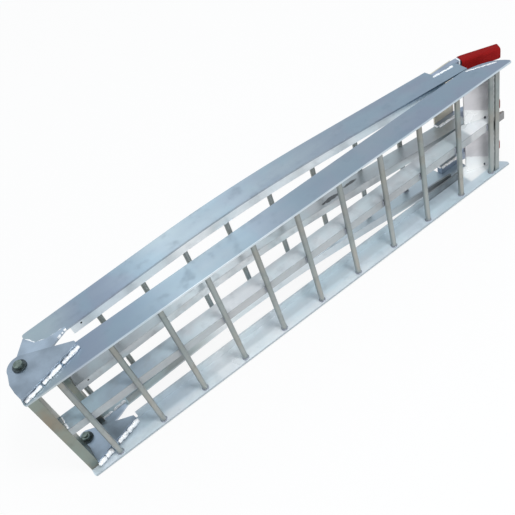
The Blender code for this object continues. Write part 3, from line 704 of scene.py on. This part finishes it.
class RampFinish(bpy.types.PropertyGroup):
    """Colours of the ramp's materials, and where the painted highlight lies on its metal."""

    # Each metal has a dull colour and a bright one: the bright one shows under the painted highlight and
    # painted light, and in the metal's own uneven tone.
    outer_dull: shade("Outer web, dull", "Upward webs towards their ends", (0.31, 0.365, 0.455))
    outer_bright: shade("Outer web, bright", "Upward webs where they are polished", (0.47, 0.55, 0.59))
    inner_dull: shade("Inner face, dull", "Inner faces towards their ends", (0.62, 0.71, 0.78))
    inner_bright: shade("Inner face, bright", "Inner faces where they are polished", (0.97, 0.98, 0.98))
    tube_dull: shade("Tube, dull", "Middle rails towards their ends", (0.46, 0.485, 0.505))
    tube_bright: shade("Tube, bright", "Middle rails where they are polished", (0.96, 0.96, 0.97))
    tube_end_dull: shade("Tube end, dull", "The lower middle rail's hinge end", (0.31, 0.385, 0.45))
    tube_end_bright: shade("Tube end, bright", "The same where it is polished", (0.50, 0.58, 0.66))
    nose_dull: shade("Nose, dull", "The lower middle rail's tip", (0.17, 0.14, 0.13))
    nose_bright: shade("Nose, bright", "The same where it is polished", (0.30, 0.26, 0.24))
    heel_dull: shade("Far heel, dull", "The upper left rail's hinge end", (0.22, 0.245, 0.25))
    heel_bright: shade("Far heel, bright", "The same where it is polished", (0.34, 0.365, 0.35))
    brown_dull: shade("Brown, dull", "Brown clouds on the hinge bars", (0.28, 0.235, 0.18))
    brown_bright: shade("Brown, bright", "The same where they are polished", (0.40, 0.345, 0.28))
    warm_dull: shade("Warm, dull", "Brownish stretches of the rungs", (0.30, 0.295, 0.265))
    warm_bright: shade("Warm, bright", "The same where they are polished", (0.41, 0.40, 0.365))
    rung_color: shade("Rung", "Drawn round bars", (0.285, 0.305, 0.300))
    bar_color: shade("Hinge bar", "The tubes across the hinge end", (0.25, 0.275, 0.245))
    plate_color: shade("Plate", "Hinge plates", (0.37, 0.435, 0.51))
    end_plate_color: shade("End plate", "The flat plate across the tongues", (0.62, 0.58, 0.48))
    # The foot plates: painted light on their lower part, painted shade on their upper part.
    foot_color: shade("Foot plate", "The foot plates' bright lower part", (0.98, 0.98, 0.98))
    foot_shade_color: shade("Film", "The foot plates' dull upper part", (0.66, 0.64, 0.66))
    weld_color: shade("Weld", "Weld beads", (0.93, 0.94, 0.96))
    scale_color: shade("Rung weld", "The sooty welds at the rungs' feet", (0.34, 0.36, 0.42))
    steel_color: shade("Bolt", "Bolts and nuts", (0.24, 0.29, 0.26))
    washer_color: shade("Washer", "Dark washers", (0.10, 0.12, 0.125))
    vinyl_color: shade("Sleeve", "Dipped vinyl", (0.26, 0.010, 0.010))
    # The painted highlight along the rails: where it is brightest, and how far it rises and falls.
    highlight_place: length("Gleam", "Where along the ramp the metal is polished most", 0.40)
    highlight_rise: length("Gleam rise", "From the dull hinge end to the polished place", 0.22)
    highlight_fall: length("Gleam fall", "From the polished place to the dull far end", 0.60)


class RampStudio(bpy.types.PropertyGroup):
    """Camera, lamps and floor."""

    camera_place: bpy.props.FloatVectorProperty(
        name="Camera", description="Where the camera stands", subtype="TRANSLATION", unit="LENGTH",
        default=(-0.41112, -0.92788, 1.19378))
    camera_turn: bpy.props.FloatVectorProperty(
        name="Camera turn", description="How the camera is turned", subtype="EULER", unit="ROTATION",
        default=(math.radians(41.5941), math.radians(14.49), math.radians(-35.2189)))
    lens: bpy.props.FloatProperty(
        name="Lens", description="Focal length in millimetres on a 36 mm sensor", default=47.915)
    key_power: bpy.props.FloatProperty(
        name="Key lamp", description="Power of the lamp overhead", unit="POWER", default=18.0)
    key_size: length("Key size", "Side of the lamp overhead", 0.45)
    back_power: bpy.props.FloatProperty(
        name="Back lamp", description="Power of the lamp that upward faces mirror", unit="POWER",
        default=2.5)
    back_size: length("Back size", "Side of the back lamp", 0.8)
    fill_power: bpy.props.FloatProperty(
        name="Fill lamp", description="Power of the front lamp", unit="POWER", default=5.0)
    fill_size: length("Fill size", "Side of the front lamp", 1.2)
    sky_color: shade("Sky", "The room's light from above", (0.52, 0.60, 0.68))
    horizon_color: shade("Horizon", "The room's light from the sides", (0.96, 0.98, 0.98))
    floor_size: length("Floor", "Length of the floor's side", 40.0)


class RAMP_OT_rails(bpy.types.Operator):
    """Finish the rails and hinge bars as extruded aluminium"""

    bl_idname = "ramp.rails"
    bl_label = "Finish Rails"

    @staticmethod
    def painted_lit_strip(paint):
        """Painted light on the lower left web's front strip, and painted reflection behind it at the foot
        plate.
        """
        x, y = paint.axis("X"), paint.axis("Y")
        fading = 1.0 - x.bound(0.16, 0.40) * 0.4 - x.bound(0.55, 1.09) * 0.8
        # Painted light where the lamp reaches past the right web, fading along the rail.
        strip = y.bound(0.030, 0.012) * fading * 0.95 * x.bound(-0.2, 0.42)
        # Painted reflection beside the foot plates.
        reflection_beside_plate = x.bound(*FOOT_START) * y.bound(0.020, 0.027) * (1.0 - x.bound(1.138, 1.146))
        return strip.over(reflection_beside_plate)

    @staticmethod
    def left_rail_shade(paint):
        """Where the left rail is darker: painted shade on its thin edge on the tread, a painted shadow of
        the right rail over its far part, and darker at its tip.
        """
        x, y = paint.axis("X"), paint.axis("Y")
        # Painted shadow of the right rail over the part away from the tread.
        behind = y.bound(0.020, 0.030) * (1.0 - x.bound(*FOOT_START)) * 0.34
        tip = x.bound(1.132, 1.142) * 0.40
        # Painted shade along the thin edge on the tread.
        edge = y.bound(0.0011, 0.0003) * 0.9
        return edge.over(behind).over(tip)

    @staticmethod
    def flange_dark_stretch(paint):
        """The dark stretch of the lower left rail's flange."""
        x = paint.axis("X")
        stretch = x.bound(0.88, 1.00) * (1.0 - x.bound(1.060, 1.078))
        return stretch * paint.axis("Y").bound(0.050, 0.0525) * (paint.noise(30.0) * 0.3 + 0.52)

    @staticmethod
    def far_dull(paint):
        """The upper left web is dull beyond the crown."""
        return paint.axis("X").bound(0.68, 0.82) * 0.45

    @staticmethod
    def far_start(paint):
        """The upper left rail is dark at its hinge end, most on its flange."""
        flange = paint.axis("Z").bound(*FAR_FLANGE)
        return (1.0 - paint.axis("X").bound(0.28, 0.40)) * (flange * 0.4 + 0.6)

    @staticmethod
    def far_flange_shadow(paint):
        """Painted shadow in the gap along the upper left rail's flange: darker towards the tongues, most
        beside its web.
        """
        z = paint.axis("Z")
        dark = paint.axis("X").bound(0.84, 1.02) * z.bound(*FAR_FLANGE)
        return dark * (1.0 - z.bound(0.011, 0.020) * 0.45) * 0.78

    @staticmethod
    def front_edge(paint):
        """The right web's thin edge on the tread, which catches the light."""
        return paint.axis("Y").bound(0.0022, 0.0010) * (paint.axis("X").bound(0.04, 0.22) * 0.75 + 0.1)

    @staticmethod
    def streaks(paint):
        """Painted shade on the upper middle rail's top, with two dark streaks."""
        first = blot(paint, 3.0, X=(0.738, 0.034), Y=(0.1085, 0.0065))
        second = blot(paint, 3.0, X=(0.794, 0.024), Y=(0.1130, 0.0045))
        # The whole top darkened as painted shade, the streaks more.
        return first.over(second).over(0.28) * paint.axis("Z").bound(*TUBE_TOP)

    @staticmethod
    def corner_hole(paint):
        """The hole in the upper right rail's flange."""
        return blot(paint, X=(0.1540, HOLE), Z=(0.2806, HOLE))

    @staticmethod
    def tube_hole(paint):
        """The hole in the upper middle rail, and the dark middles of the streaks on its top."""
        first = blot(paint, 2.4, X=(0.735, 0.028), Y=(0.1085, 0.0056))
        second = blot(paint, 2.4, X=(0.792, 0.017), Y=(0.1130, 0.0036))
        streak = first.over(second) * paint.axis("Z").bound(*TUBE_TOP) * 0.55
        return blot(paint, X=(0.0988, HOLE), Z=(0.1430, HOLE)).over(streak)

    @staticmethod
    def ground_end(paint):
        """A painted reflection: the middle rail's bright stretch beside the foot plates."""
        x = paint.axis("X")
        return x.bound(1.060, 1.070) * (1.0 - x.bound(1.134, 1.142))

    @staticmethod
    def flange(paint):
        """The upper right rail below its web."""
        web = WIDTH - RAIL_WALL
        return paint.axis("Z").bound(web + 0.0002, web - 0.0004)

    @staticmethod
    def front_shade(paint):
        """Painted shade on the middle rail's face towards the tread."""
        return paint.axis("Y").bound(*reversed(TUBE_FRONT)) * 0.6

    @staticmethod
    def hinge_end(paint):
        """The middle rail's top is dull and bluish at its hinge end."""
        return (1.0 - paint.axis("X").bound(0.16, 0.36)) * paint.axis("Y").bound(*TUBE_FRONT)

    @staticmethod
    def near_heel(paint):
        """The lower right web is lighter at its hinge end."""
        return 1.0 - paint.axis("X").bound(0.060, 0.115)

    @staticmethod
    def far_heel(paint):
        """The upper right web is lighter at its hinge end."""
        return 1.0 - paint.axis("X").bound(0.080, 0.170)

    @staticmethod
    def brown(paint):
        """Brown clouds on the hinge bars."""
        return paint.noise(16.0, detail=3.0, shift=(0.2, 0.9, 0.4)).bound(0.44, 0.66) * 0.75

    @staticmethod
    def nose(paint):
        """The middle rail's tip beyond the ground end bar."""
        return paint.axis("X").bound(1.140, 1.147)

    def lower_rails(self, look, outer, inner, tube):
        """The lower half's two side rails and its middle rail."""
        dull, bright = outer
        right = drawn_metal("outer_web", look, dull, tinted(bright, 0.86), extra=self.near_heel,
                            others=[(self.front_edge, *inner)], smudged=0.16)
        finish(["lower_rail_right"], right)
        # The left web: painted light on its lit strip, painted shade on its edge and far part.
        left = drawn_metal("inner_web", look, *inner, metallic=0.25, extra=self.painted_lit_strip,
                           shaded=self.left_rail_shade, hole=self.flange_dark_stretch)
        finish(["lower_rail_left"], left)
        ends = [(self.hinge_end, *tones(look, "tube_end")), (self.nose, *tones(look, "nose"))]
        # The middle rail: a painted reflection beside the foot plates and painted shade on its front.
        middle = drawn_metal("tube", look, *tube, metallic=0.15, extra=self.ground_end,
                             shaded=self.front_shade, others=ends)
        finish(["lower_rail_middle"], middle)

    def upper_rails(self, look, outer, inner, tube):
        """The upper half's rails, each one piece in place of its CAD stretches."""
        metals = {
            "right": drawn_metal("upper_web", look, *outer, extra=self.far_heel,
                                 others=[(self.flange, *inner)], hole=self.corner_hole, smudged=0.20),
            # The left rail: painted shadow along its flange.
            "left": drawn_metal("far_web", look, *inner, metallic=0.7, shaded=self.far_dull,
                                others=[(self.far_start, *tones(look, "heel"))],
                                hole=self.far_flange_shadow),
            # The middle rail: painted shade on its top.
            "middle": drawn_metal("far_tube", look, *tube, metallic=0.7, shaded=self.streaks,
                                  hole=self.tube_hole),
        }
        for side, metal in metals.items():
            nodes = named("upper_rail_" + side)
            rail = dress(whole_rail("upper_rail_whole_" + side, nodes), UPPER, metal)
            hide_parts(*nodes)
            soften(rail, BROKEN_EDGE)

    def execute(self, context):
        look = context.scene.ramp_finish
        rails = (tones(look, "outer"), tones(look, "inner"), tones(look, "tube"))
        self.lower_rails(look, *rails)
        self.upper_rails(look, *rails)
        bar = drawn_metal("hinge_bar_tube", look, tuple(look.bar_color), tinted(look.bar_color, 1.5),
                          along="z", others=[(self.brown, *tones(look, "brown"))])
        finish(named("lower_hinge_bar", "upper_hinge_bar"), bar)
        return {"FINISHED"}


class RAMP_OT_rungs(bpy.types.Operator):
    """Finish the rungs and the end bar as drawn bar"""

    bl_idname = "ramp.rungs"
    bl_label = "Finish Rungs"

    @staticmethod
    def lower_part(paint):
        """The rungs are brighter towards the left rail."""
        return paint.axis("Z").bound(0.20, 0.06) * 0.9

    @staticmethod
    def warm(paint):
        """Stretches of the rungs with a brown cast."""
        return paint.noise(11.0, detail=2.0, shift=(0.5, 0.1, 0.7)).bound(0.46, 0.60) * 0.7

    def execute(self, context):
        look = context.scene.ramp_finish
        color = tuple(look.rung_color)
        metal = drawn_metal("rung_bar", look, color, tinted(color, 1.35), along="z", metallic=0.9,
                            roughness=0.42, extra=self.lower_part,
                            others=[(self.warm, *tones(look, "warm"))])
        finish(named("lower_rung", "upper_rung", "lower_end_rung", "ground_end_bar"), metal)
        return {"FINISHED"}


class RAMP_OT_plates(bpy.types.Operator):
    """Finish the hinge plates, foot plates, end plate and tongues"""

    bl_idname = "ramp.plates"
    bl_label = "Finish Plates"

    def execute(self, context):
        look = context.scene.ramp_finish
        hinge = plate_metal("hinge_plate_sheet", tuple(look.plate_color), roughness=0.36)
        finish(["lower_hinge_plate_right"], hinge)
        # A lighter copy of the hinge plate finish: painted light on the lower left plate, which lies in
        # shade, and on the upper plates.
        pale = plate_metal("pale_plate_sheet", tinted(look.plate_color, 1.2), roughness=0.36)
        finish(named("lower_hinge_plate_left", "upper_hinge_plate"), pale)
        # Painted light and painted shade on the foot plates.
        foot = foot_sheet("foot_plate_sheet", tuple(look.foot_shade_color), tuple(look.foot_color))
        finish(named("foot_plate"), foot)
        # The end plate's colour is lighter: painted light where it lies in shade.
        flat = plate_metal("end_plate_sheet", tuple(look.end_plate_color), roughness=0.42, metallic=0.5)
        finish(named("upper_end_plate"), flat)
        # A lighter copy of the webs' dull colour: painted light on the tongues, which lie in shade under
        # the middle rail.
        bar = plate_metal("tongue_bar", tinted(look.outer_dull, 1.10), roughness=0.32, metallic=0.75)
        finish(["tongue_left", "tongue_middle", "tongue_right"], bar)
        return {"FINISHED"}


class RAMP_OT_pivots(bpy.types.Operator):
    """Finish the pivot bolts, nuts, washers and the spacer"""

    bl_idname = "ramp.pivots"
    bl_label = "Finish Pivots"

    def execute(self, context):
        look = context.scene.ramp_finish
        bright = plated_steel("pivot_steel", tuple(look.steel_color), roughness=0.38)
        finish(named("pivot_bolt", "pivot_nut"), bright, edge=0.0015)
        dark = plated_steel("washer_steel", tuple(look.washer_color), roughness=0.5)
        finish(named("pivot_washer", "nut_washer", "hinge_spacer"), dark)
        return {"FINISHED"}


class RAMP_OT_sleeves(bpy.types.Operator):
    """Pull dipped vinyl sleeves over the three tongues' ends"""

    bl_idname = "ramp.sleeves"
    bl_label = "Add Sleeves"

    def execute(self, context):
        vinyl = red_vinyl("sleeve_vinyl", tuple(context.scene.ramp_finish.vinyl_color))
        for side, mouth in SLEEVE_MOUTHS.items():
            out = -1.0 if side == "left" else 1.0
            sleeve = surface("tongue_sleeve_" + side, sleeve_skin("tongue_" + side, out, mouth))
            dress(sleeve, UPPER, vinyl)
            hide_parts("tongue_cover_" + side)
        return {"FINISHED"}


class RAMP_OT_rung_welds(bpy.types.Operator):
    """Lay the weld beads at the rungs' feet and where they cross the middle rails"""

    bl_idname = "ramp.rung_welds"
    bl_label = "Lay Rung Welds"

    def rings(self, nodes):
        """Rings round both ends of the rungs, just off the webs."""
        centers = []
        for node in nodes:
            x, y, _ = node_middle(node)
            centers += [(x, y, RAIL_WALL + RING_LIFT), (x, y, WIDTH - RAIL_WALL - RING_LIFT)]
        return ring_beads(centers, RUNG_RADIUS + RING_OFFSET, RING_RADIUS)

    def crossings(self, nodes, rail, side):
        """Short beads where the rungs cross the middle rail."""
        low, high = node_box(rail)
        beads = []
        for node in nodes:
            x, y, _ = node_middle(node)
            y = y + side * CROSSING_AHEAD
            for across in (x - CROSSING_ASIDE, x + CROSSING_ASIDE):
                start, end = (across, y, low[2] + BEAD_MARGIN), (across, y, high[2] - BEAD_MARGIN)
                beads.append(bead(start, end, (0.0, -side, 0.0), CROSSING_RADIUS))
        return beads

    def execute(self, context):
        metal = weld_metal("rung_weld_bead", tuple(context.scene.ramp_finish.scale_color))
        groups = {
            LOWER: (named("lower_rung", "lower_end_rung"), "lower_rail_middle", 1.0),
            UPPER: (named("upper_rung"), "upper_rail_middle_rise", -1.0),
        }
        for body, (nodes, rail, side) in groups.items():
            rings = surface(body + "_rung_welds", self.rings(nodes), wrap_rows=True)
            dress(rings, body, metal)
            lay(body + "_crossing_welds", self.crossings(nodes, rail, side), body, metal)
        return {"FINISHED"}


class RAMP_OT_plate_welds(bpy.types.Operator):
    """Lay the bright weld beads along the hinge plates"""

    bl_idname = "ramp.plate_welds"
    bl_label = "Lay Plate Welds"

    @staticmethod
    def lower_right():
        """The long seam of the plate on the near web."""
        runs = [(0.0, 0.19, 0.0038), (0.17, 0.30, 0.0035), (0.315, 0.47, 0.0036),
                (0.45, 0.66, 0.0042), (0.675, 0.80, 0.0037), (0.78, 1.0, 0.0043)]
        return level_seam((0.0042, 0.0040), (0.1296, 0.0408), WIDTH + 0.0028, runs, 0.9)

    @staticmethod
    def lower_left():
        """Two tall seams on the plate inside the left rail, with the first rung between them."""
        z, tall = 0.0150, 1.5
        first = [(0.0, 0.52, 0.0040), (0.5, 1.0, 0.0044)]
        second = [(0.0, 0.47, 0.0040), (0.45, 1.0, 0.0044)]
        beads = level_seam((0.0180, 0.0083), (0.0575, 0.0200), z, first, tall)
        return beads + level_seam((0.0720, 0.0242), (0.1310, 0.0416), z, second, tall)

    @staticmethod
    def hinge_bar():
        """The seam between the hinge bar and the middle rail's top."""
        z = node_box("lower_rail_middle")[1][2] + 0.0005
        return level_seam((0.0215, 0.0530), (0.0215, 0.0200), z, [(0.0, 0.52, 0.0019), (0.56, 1.0, 0.0026)])

    @staticmethod
    def upper_right():
        """Beads round the upper right rail's heel, and a broken seam at the plate's tip."""
        whole = [(0.0, 1.0, 0.0026)]
        z = WIDTH + 0.0018
        beads = level_seam((0.0540, 0.1355), (0.0665, 0.1130), z, whole)
        beads += level_seam((0.0690, 0.1105), (0.0880, 0.1028), z, whole)
        beads += level_seam((0.0910, 0.1020), (0.1250, 0.1008), z, whole)
        tip = [(0.0, 0.42, 0.0021), (0.47, 0.68, 0.0015), (0.74, 1.0, 0.0023)]
        return beads + level_seam((0.1040, 0.0854), (0.1264, 0.0947), WIDTH + 0.0046, tip)

    @staticmethod
    def upper_left():
        """The seam of the plate inside the upper left rail."""
        runs = [(0.0, 0.48, 0.0026), (0.5, 1.0, 0.0030)]
        return level_seam((0.0646, 0.1012), (0.1300, 0.1066), RAIL_WALL + 0.0053, runs)

    def execute(self, context):
        metal = weld_metal("bright_weld", tuple(context.scene.ramp_finish.weld_color))
        lay("lower_plate_welds_right", self.lower_right(), LOWER, metal)
        lay("lower_plate_welds_left", self.lower_left(), LOWER, metal)
        lay("hinge_bar_weld", self.hinge_bar(), LOWER, metal)
        lay("upper_plate_welds_right", self.upper_right(), UPPER, metal)
        lay("upper_plate_welds_left", self.upper_left(), UPPER, metal)
        return {"FINISHED"}


class RAMP_OT_foot_welds(bpy.types.Operator):
    """Lay the welds between the end rung and end bar, and at the foot plates"""

    bl_idname = "ramp.foot_welds"
    bl_label = "Lay Foot Welds"

    @staticmethod
    def end_bar():
        """Beads between the end rung and end bar, and the seam on the right rail's taper."""
        rung, bar = node_box("lower_end_rung"), node_box("ground_end_bar")
        low, high = node_box("lower_rail_middle")
        x = (rung[1][0] + bar[0][0]) / 2.0
        y = node_middle("lower_end_rung")[1] - 0.0008
        spans = ((RAIL_WALL, low[2]), (high[2], WIDTH - RAIL_WALL))
        beads = [bead((x, y, first + BEAD_MARGIN), (x, y, last - BEAD_MARGIN), AHEAD, 0.0017)
                 for first, last in spans]
        taper = [(0.0, 0.5, 0.0016), (0.48, 1.0, 0.0018)]
        return beads + level_seam((1.0885, 0.0525), (1.1500, 0.0220), WIDTH, taper)

    @staticmethod
    def sooty_spots():
        """A large and a small dark spot at the floor of each foot plate's bay."""
        spots = [((1.1250, 0.0375), (1.1295, 0.0355), 0.1515, 0.0034),
                 ((1.1030, 0.0480), (1.1058, 0.0466), 0.1515, 0.0012),
                 ((1.1230, 0.0385), (1.1275, 0.0365), 0.0120, 0.0034),
                 ((1.1000, 0.0495), (1.1028, 0.0481), 0.0140, 0.0012)]
        return [bead((*first, z), (*last, z), AHEAD, radius) for first, last, z, radius in spots]

    def execute(self, context):
        look = context.scene.ramp_finish
        pale = weld_metal("foot_weld", tinted(look.weld_color, 0.75))
        lay("end_bar_welds", self.end_bar(), LOWER, pale)
        dark = weld_metal("foot_weld_soot", tinted(look.scale_color, 0.30))
        lay("foot_plate_welds", self.sooty_spots(), LOWER, dark)
        return {"FINISHED"}


class RAMP_OT_tongue_welds(bpy.types.Operator):
    """Lay the bright weld beads along the tongues"""

    bl_idname = "ramp.tongue_welds"
    bl_label = "Lay Tongue Welds"

    @staticmethod
    def root(side, low, high):
        """The long seam beside a tongue, and the short bead across its root."""
        face, top, across = high[1] - 0.0145, high[2], low[0] - 0.001
        if side == "right":
            start, end, z, radius = (1.0365, 0.0935), (1.0890, 0.0868), WIDTH, 0.0024
        else:
            start, end, z, radius = (low[0] + 0.001, face), (low[0] + 0.052, face - 0.0015), top, 0.0032
        runs = [(0.0, 0.36, radius), (0.34, 0.7, radius * 0.9), (0.68, 1.0, radius * 1.1)]
        beads = level_seam(start, end, z, runs)
        return beads + level_seam((across, face + 0.001), (across, high[1]), top, [(0.0, 1.0, 0.0022)])

    @staticmethod
    def collar(low, high):
        """Two beads round the right tongue, just before its sleeve's mouth."""
        points, outward = tongue_path(np.array([0.0668, 0.0745]))
        front = points - outward * 0.0150
        back = points[1] - outward[1] * 0.001
        corner = bead((*front[0], low[2] - 0.0035), (*front[1], high[2]), AHEAD, 0.0019)
        return [corner] + level_seam(front[1], back, high[2] + 0.0005, [(0.0, 1.0, 0.0016)])

    def execute(self, context):
        metal = weld_metal("tongue_weld", tuple(context.scene.ramp_finish.weld_color))
        for side in ("left", "middle", "right"):
            low, high = node_box("tongue_" + side)
            beads = self.root(side, low, high)
            if side == "right":
                beads += self.collar(low, high)
            lay("tongue_welds_" + side, beads, UPPER, metal)
        return {"FINISHED"}


class RAMP_OT_studio(bpy.types.Operator):
    """Set up the camera, lamps, room light and floor"""

    bl_idname = "ramp.studio"
    bl_label = "Set Up Studio"

    def camera(self, scene, studio):
        """The camera at the photograph's angle."""
        data = bpy.data.cameras.new("ramp_camera")
        data.lens = studio.lens
        data.sensor_width = 36.0
        data.clip_end = 60.0
        camera = add("ramp_camera", data)
        camera.location = studio.camera_place
        camera.rotation_euler = studio.camera_turn
        scene.camera = camera

    def lamp(self, name, place, aim, size, power, color):
        """A square area lamp that looks at a point."""
        data = bpy.data.lights.new(name, "AREA")
        data.shape = "SQUARE"
        data.size = size
        data.energy = power
        data.color = color
        back = np.array(place, dtype=float) - np.array(aim, dtype=float)
        back = back / np.linalg.norm(back)
        side = np.cross((0.0, 1.0, 0.01), back)
        side = side / np.linalg.norm(side)
        up = np.cross(back, side)
        turn = np.eye(4)
        turn[:3, :3] = np.stack([side, up, back], axis=1)
        turn[:3, 3] = place
        add(name, data).matrix_world = Matrix(turn.tolist())

    def room(self, scene, studio):
        """The world: plain light that is darker overhead than at the horizon."""
        world = bpy.data.worlds.new("ramp_room")
        world.use_nodes = True
        scene.world = world
        paint = Nodes(world.node_tree)
        where = paint.node("ShaderNodeTexCoord", out="Generated")
        height = paint.node("ShaderNodeSeparateXYZ", None, {"Vector": where}, "Z")
        rise = height.bound(0.30, 1.0)
        color = paint.blend(rise, tuple(studio.horizon_color), tuple(studio.sky_color))
        back = world.node_tree.nodes["Background"]
        paint.link(color, back.inputs["Color"])

    def floor(self, studio):
        """A white floor that keeps the shadow and shows white to camera and gloss."""
        half = studio.floor_size / 2.0
        mesh = bpy.data.meshes.new("studio_floor")
        outline = [(-half, -half, 0.0), (half, -half, 0.0), (half, half, 0.0), (-half, half, 0.0)]
        mesh.from_pydata(outline, [], [(0, 1, 2, 3)])
        floor = add("studio_floor", mesh)
        floor.location.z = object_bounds()[0][2] - FLOOR_GAP
        paint = Paint("studio_paper", Base_Color=PAPER, Roughness=0.9, Specular_IOR_Level=0.0)
        seen = paint.node("ShaderNodeLightPath", out="Is Camera Ray")
        for ray in ("Is Glossy Ray", "Is Transmission Ray"):
            seen = seen.over(paint.node("ShaderNodeLightPath", out=ray))
        white = paint.node("ShaderNodeEmission", None, {"Color": (1.0, 1.0, 1.0), "Strength": 1.0})
        diffuse = Wire(paint, paint.shader.outputs["BSDF"])
        shown = paint.node("ShaderNodeMixShader", None, {0: seen * PAPER_GLOW, 1: diffuse, 2: white})
        output = paint.tree.nodes["Material Output"]
        paint.tree.links.new(shown.socket, output.inputs["Surface"])
        floor.data.materials.append(paint.material)
        floor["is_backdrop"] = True

    def execute(self, context):
        scene = context.scene
        studio = scene.ramp_studio
        self.camera(scene, studio)
        near, far = (-0.1, 0.0, 0.1), (-0.2, 0.0, 0.1)
        white, cool, warm = (1.0, 1.0, 1.0), (0.94, 1.0, 1.0), (1.0, 0.98, 0.94)
        self.lamp("key_lamp", (0.25, -0.85, 2.2), near, studio.key_size, studio.key_power, white)
        self.lamp("back_lamp", (0.25, 1.85, 2.2), far, studio.back_size, studio.back_power, cool)
        self.lamp("fill_lamp", (-0.2, -2.2, 0.7), near, studio.fill_size, studio.fill_power, warm)
        self.room(scene, studio)
        self.floor(studio)
        scene.view_settings.view_transform = "Standard"
        return {"FINISHED"}


class RAMP_PT_panel(bpy.types.Panel):
    """The ramp's operators and settings in the sidebar"""

    bl_label = "Loading Ramp"
    bl_idname = "RAMP_PT_panel"
    bl_space_type = "VIEW_3D"
    bl_region_type = "UI"
    bl_category = "Ramp"

    def draw(self, context):
        """One button for each operator, then both groups of settings."""
        layout = self.layout
        for operator in OPERATORS:
            layout.operator(operator.bl_idname)
        for group in (context.scene.ramp_finish, context.scene.ramp_studio):
            box = layout.box()
            for name in group.bl_rna.properties.keys():
                if name not in {"rna_type", "name"}:
                    box.prop(group, name)


OPERATORS = (
    RAMP_OT_rails, RAMP_OT_rungs, RAMP_OT_plates, RAMP_OT_pivots, RAMP_OT_sleeves, RAMP_OT_rung_welds,
    RAMP_OT_plate_welds, RAMP_OT_foot_welds, RAMP_OT_tongue_welds, RAMP_OT_studio)
CLASSES = (RampFinish, RampStudio, *OPERATORS, RAMP_PT_panel)


def register():
    """Register the classes and hang the settings on the scene."""
    for item in CLASSES:
        bpy.utils.register_class(item)
    bpy.types.Scene.ramp_finish = bpy.props.PointerProperty(type=RampFinish)
    bpy.types.Scene.ramp_studio = bpy.props.PointerProperty(type=RampStudio)


def unregister():
    """Take the settings and classes away again."""
    del bpy.types.Scene.ramp_studio
    del bpy.types.Scene.ramp_finish
    for item in reversed(CLASSES):
        bpy.utils.unregister_class(item)


def corners(bounds):
    """A box's two corners as plain lists of numbers."""
    return [[float(value) for value in corner] for corner in bounds]


def main():
    """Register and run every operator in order."""
    register()
    bpy.ops.ramp.rails()
    bpy.ops.ramp.rungs()
    bpy.ops.ramp.plates()
    bpy.ops.ramp.pivots()
    bpy.ops.ramp.sleeves()
    bpy.ops.ramp.rung_welds()
    bpy.ops.ramp.plate_welds()
    bpy.ops.ramp.foot_welds()
    bpy.ops.ramp.tongue_welds()
    bpy.ops.ramp.studio()


if __name__ == "__main__":
    main()
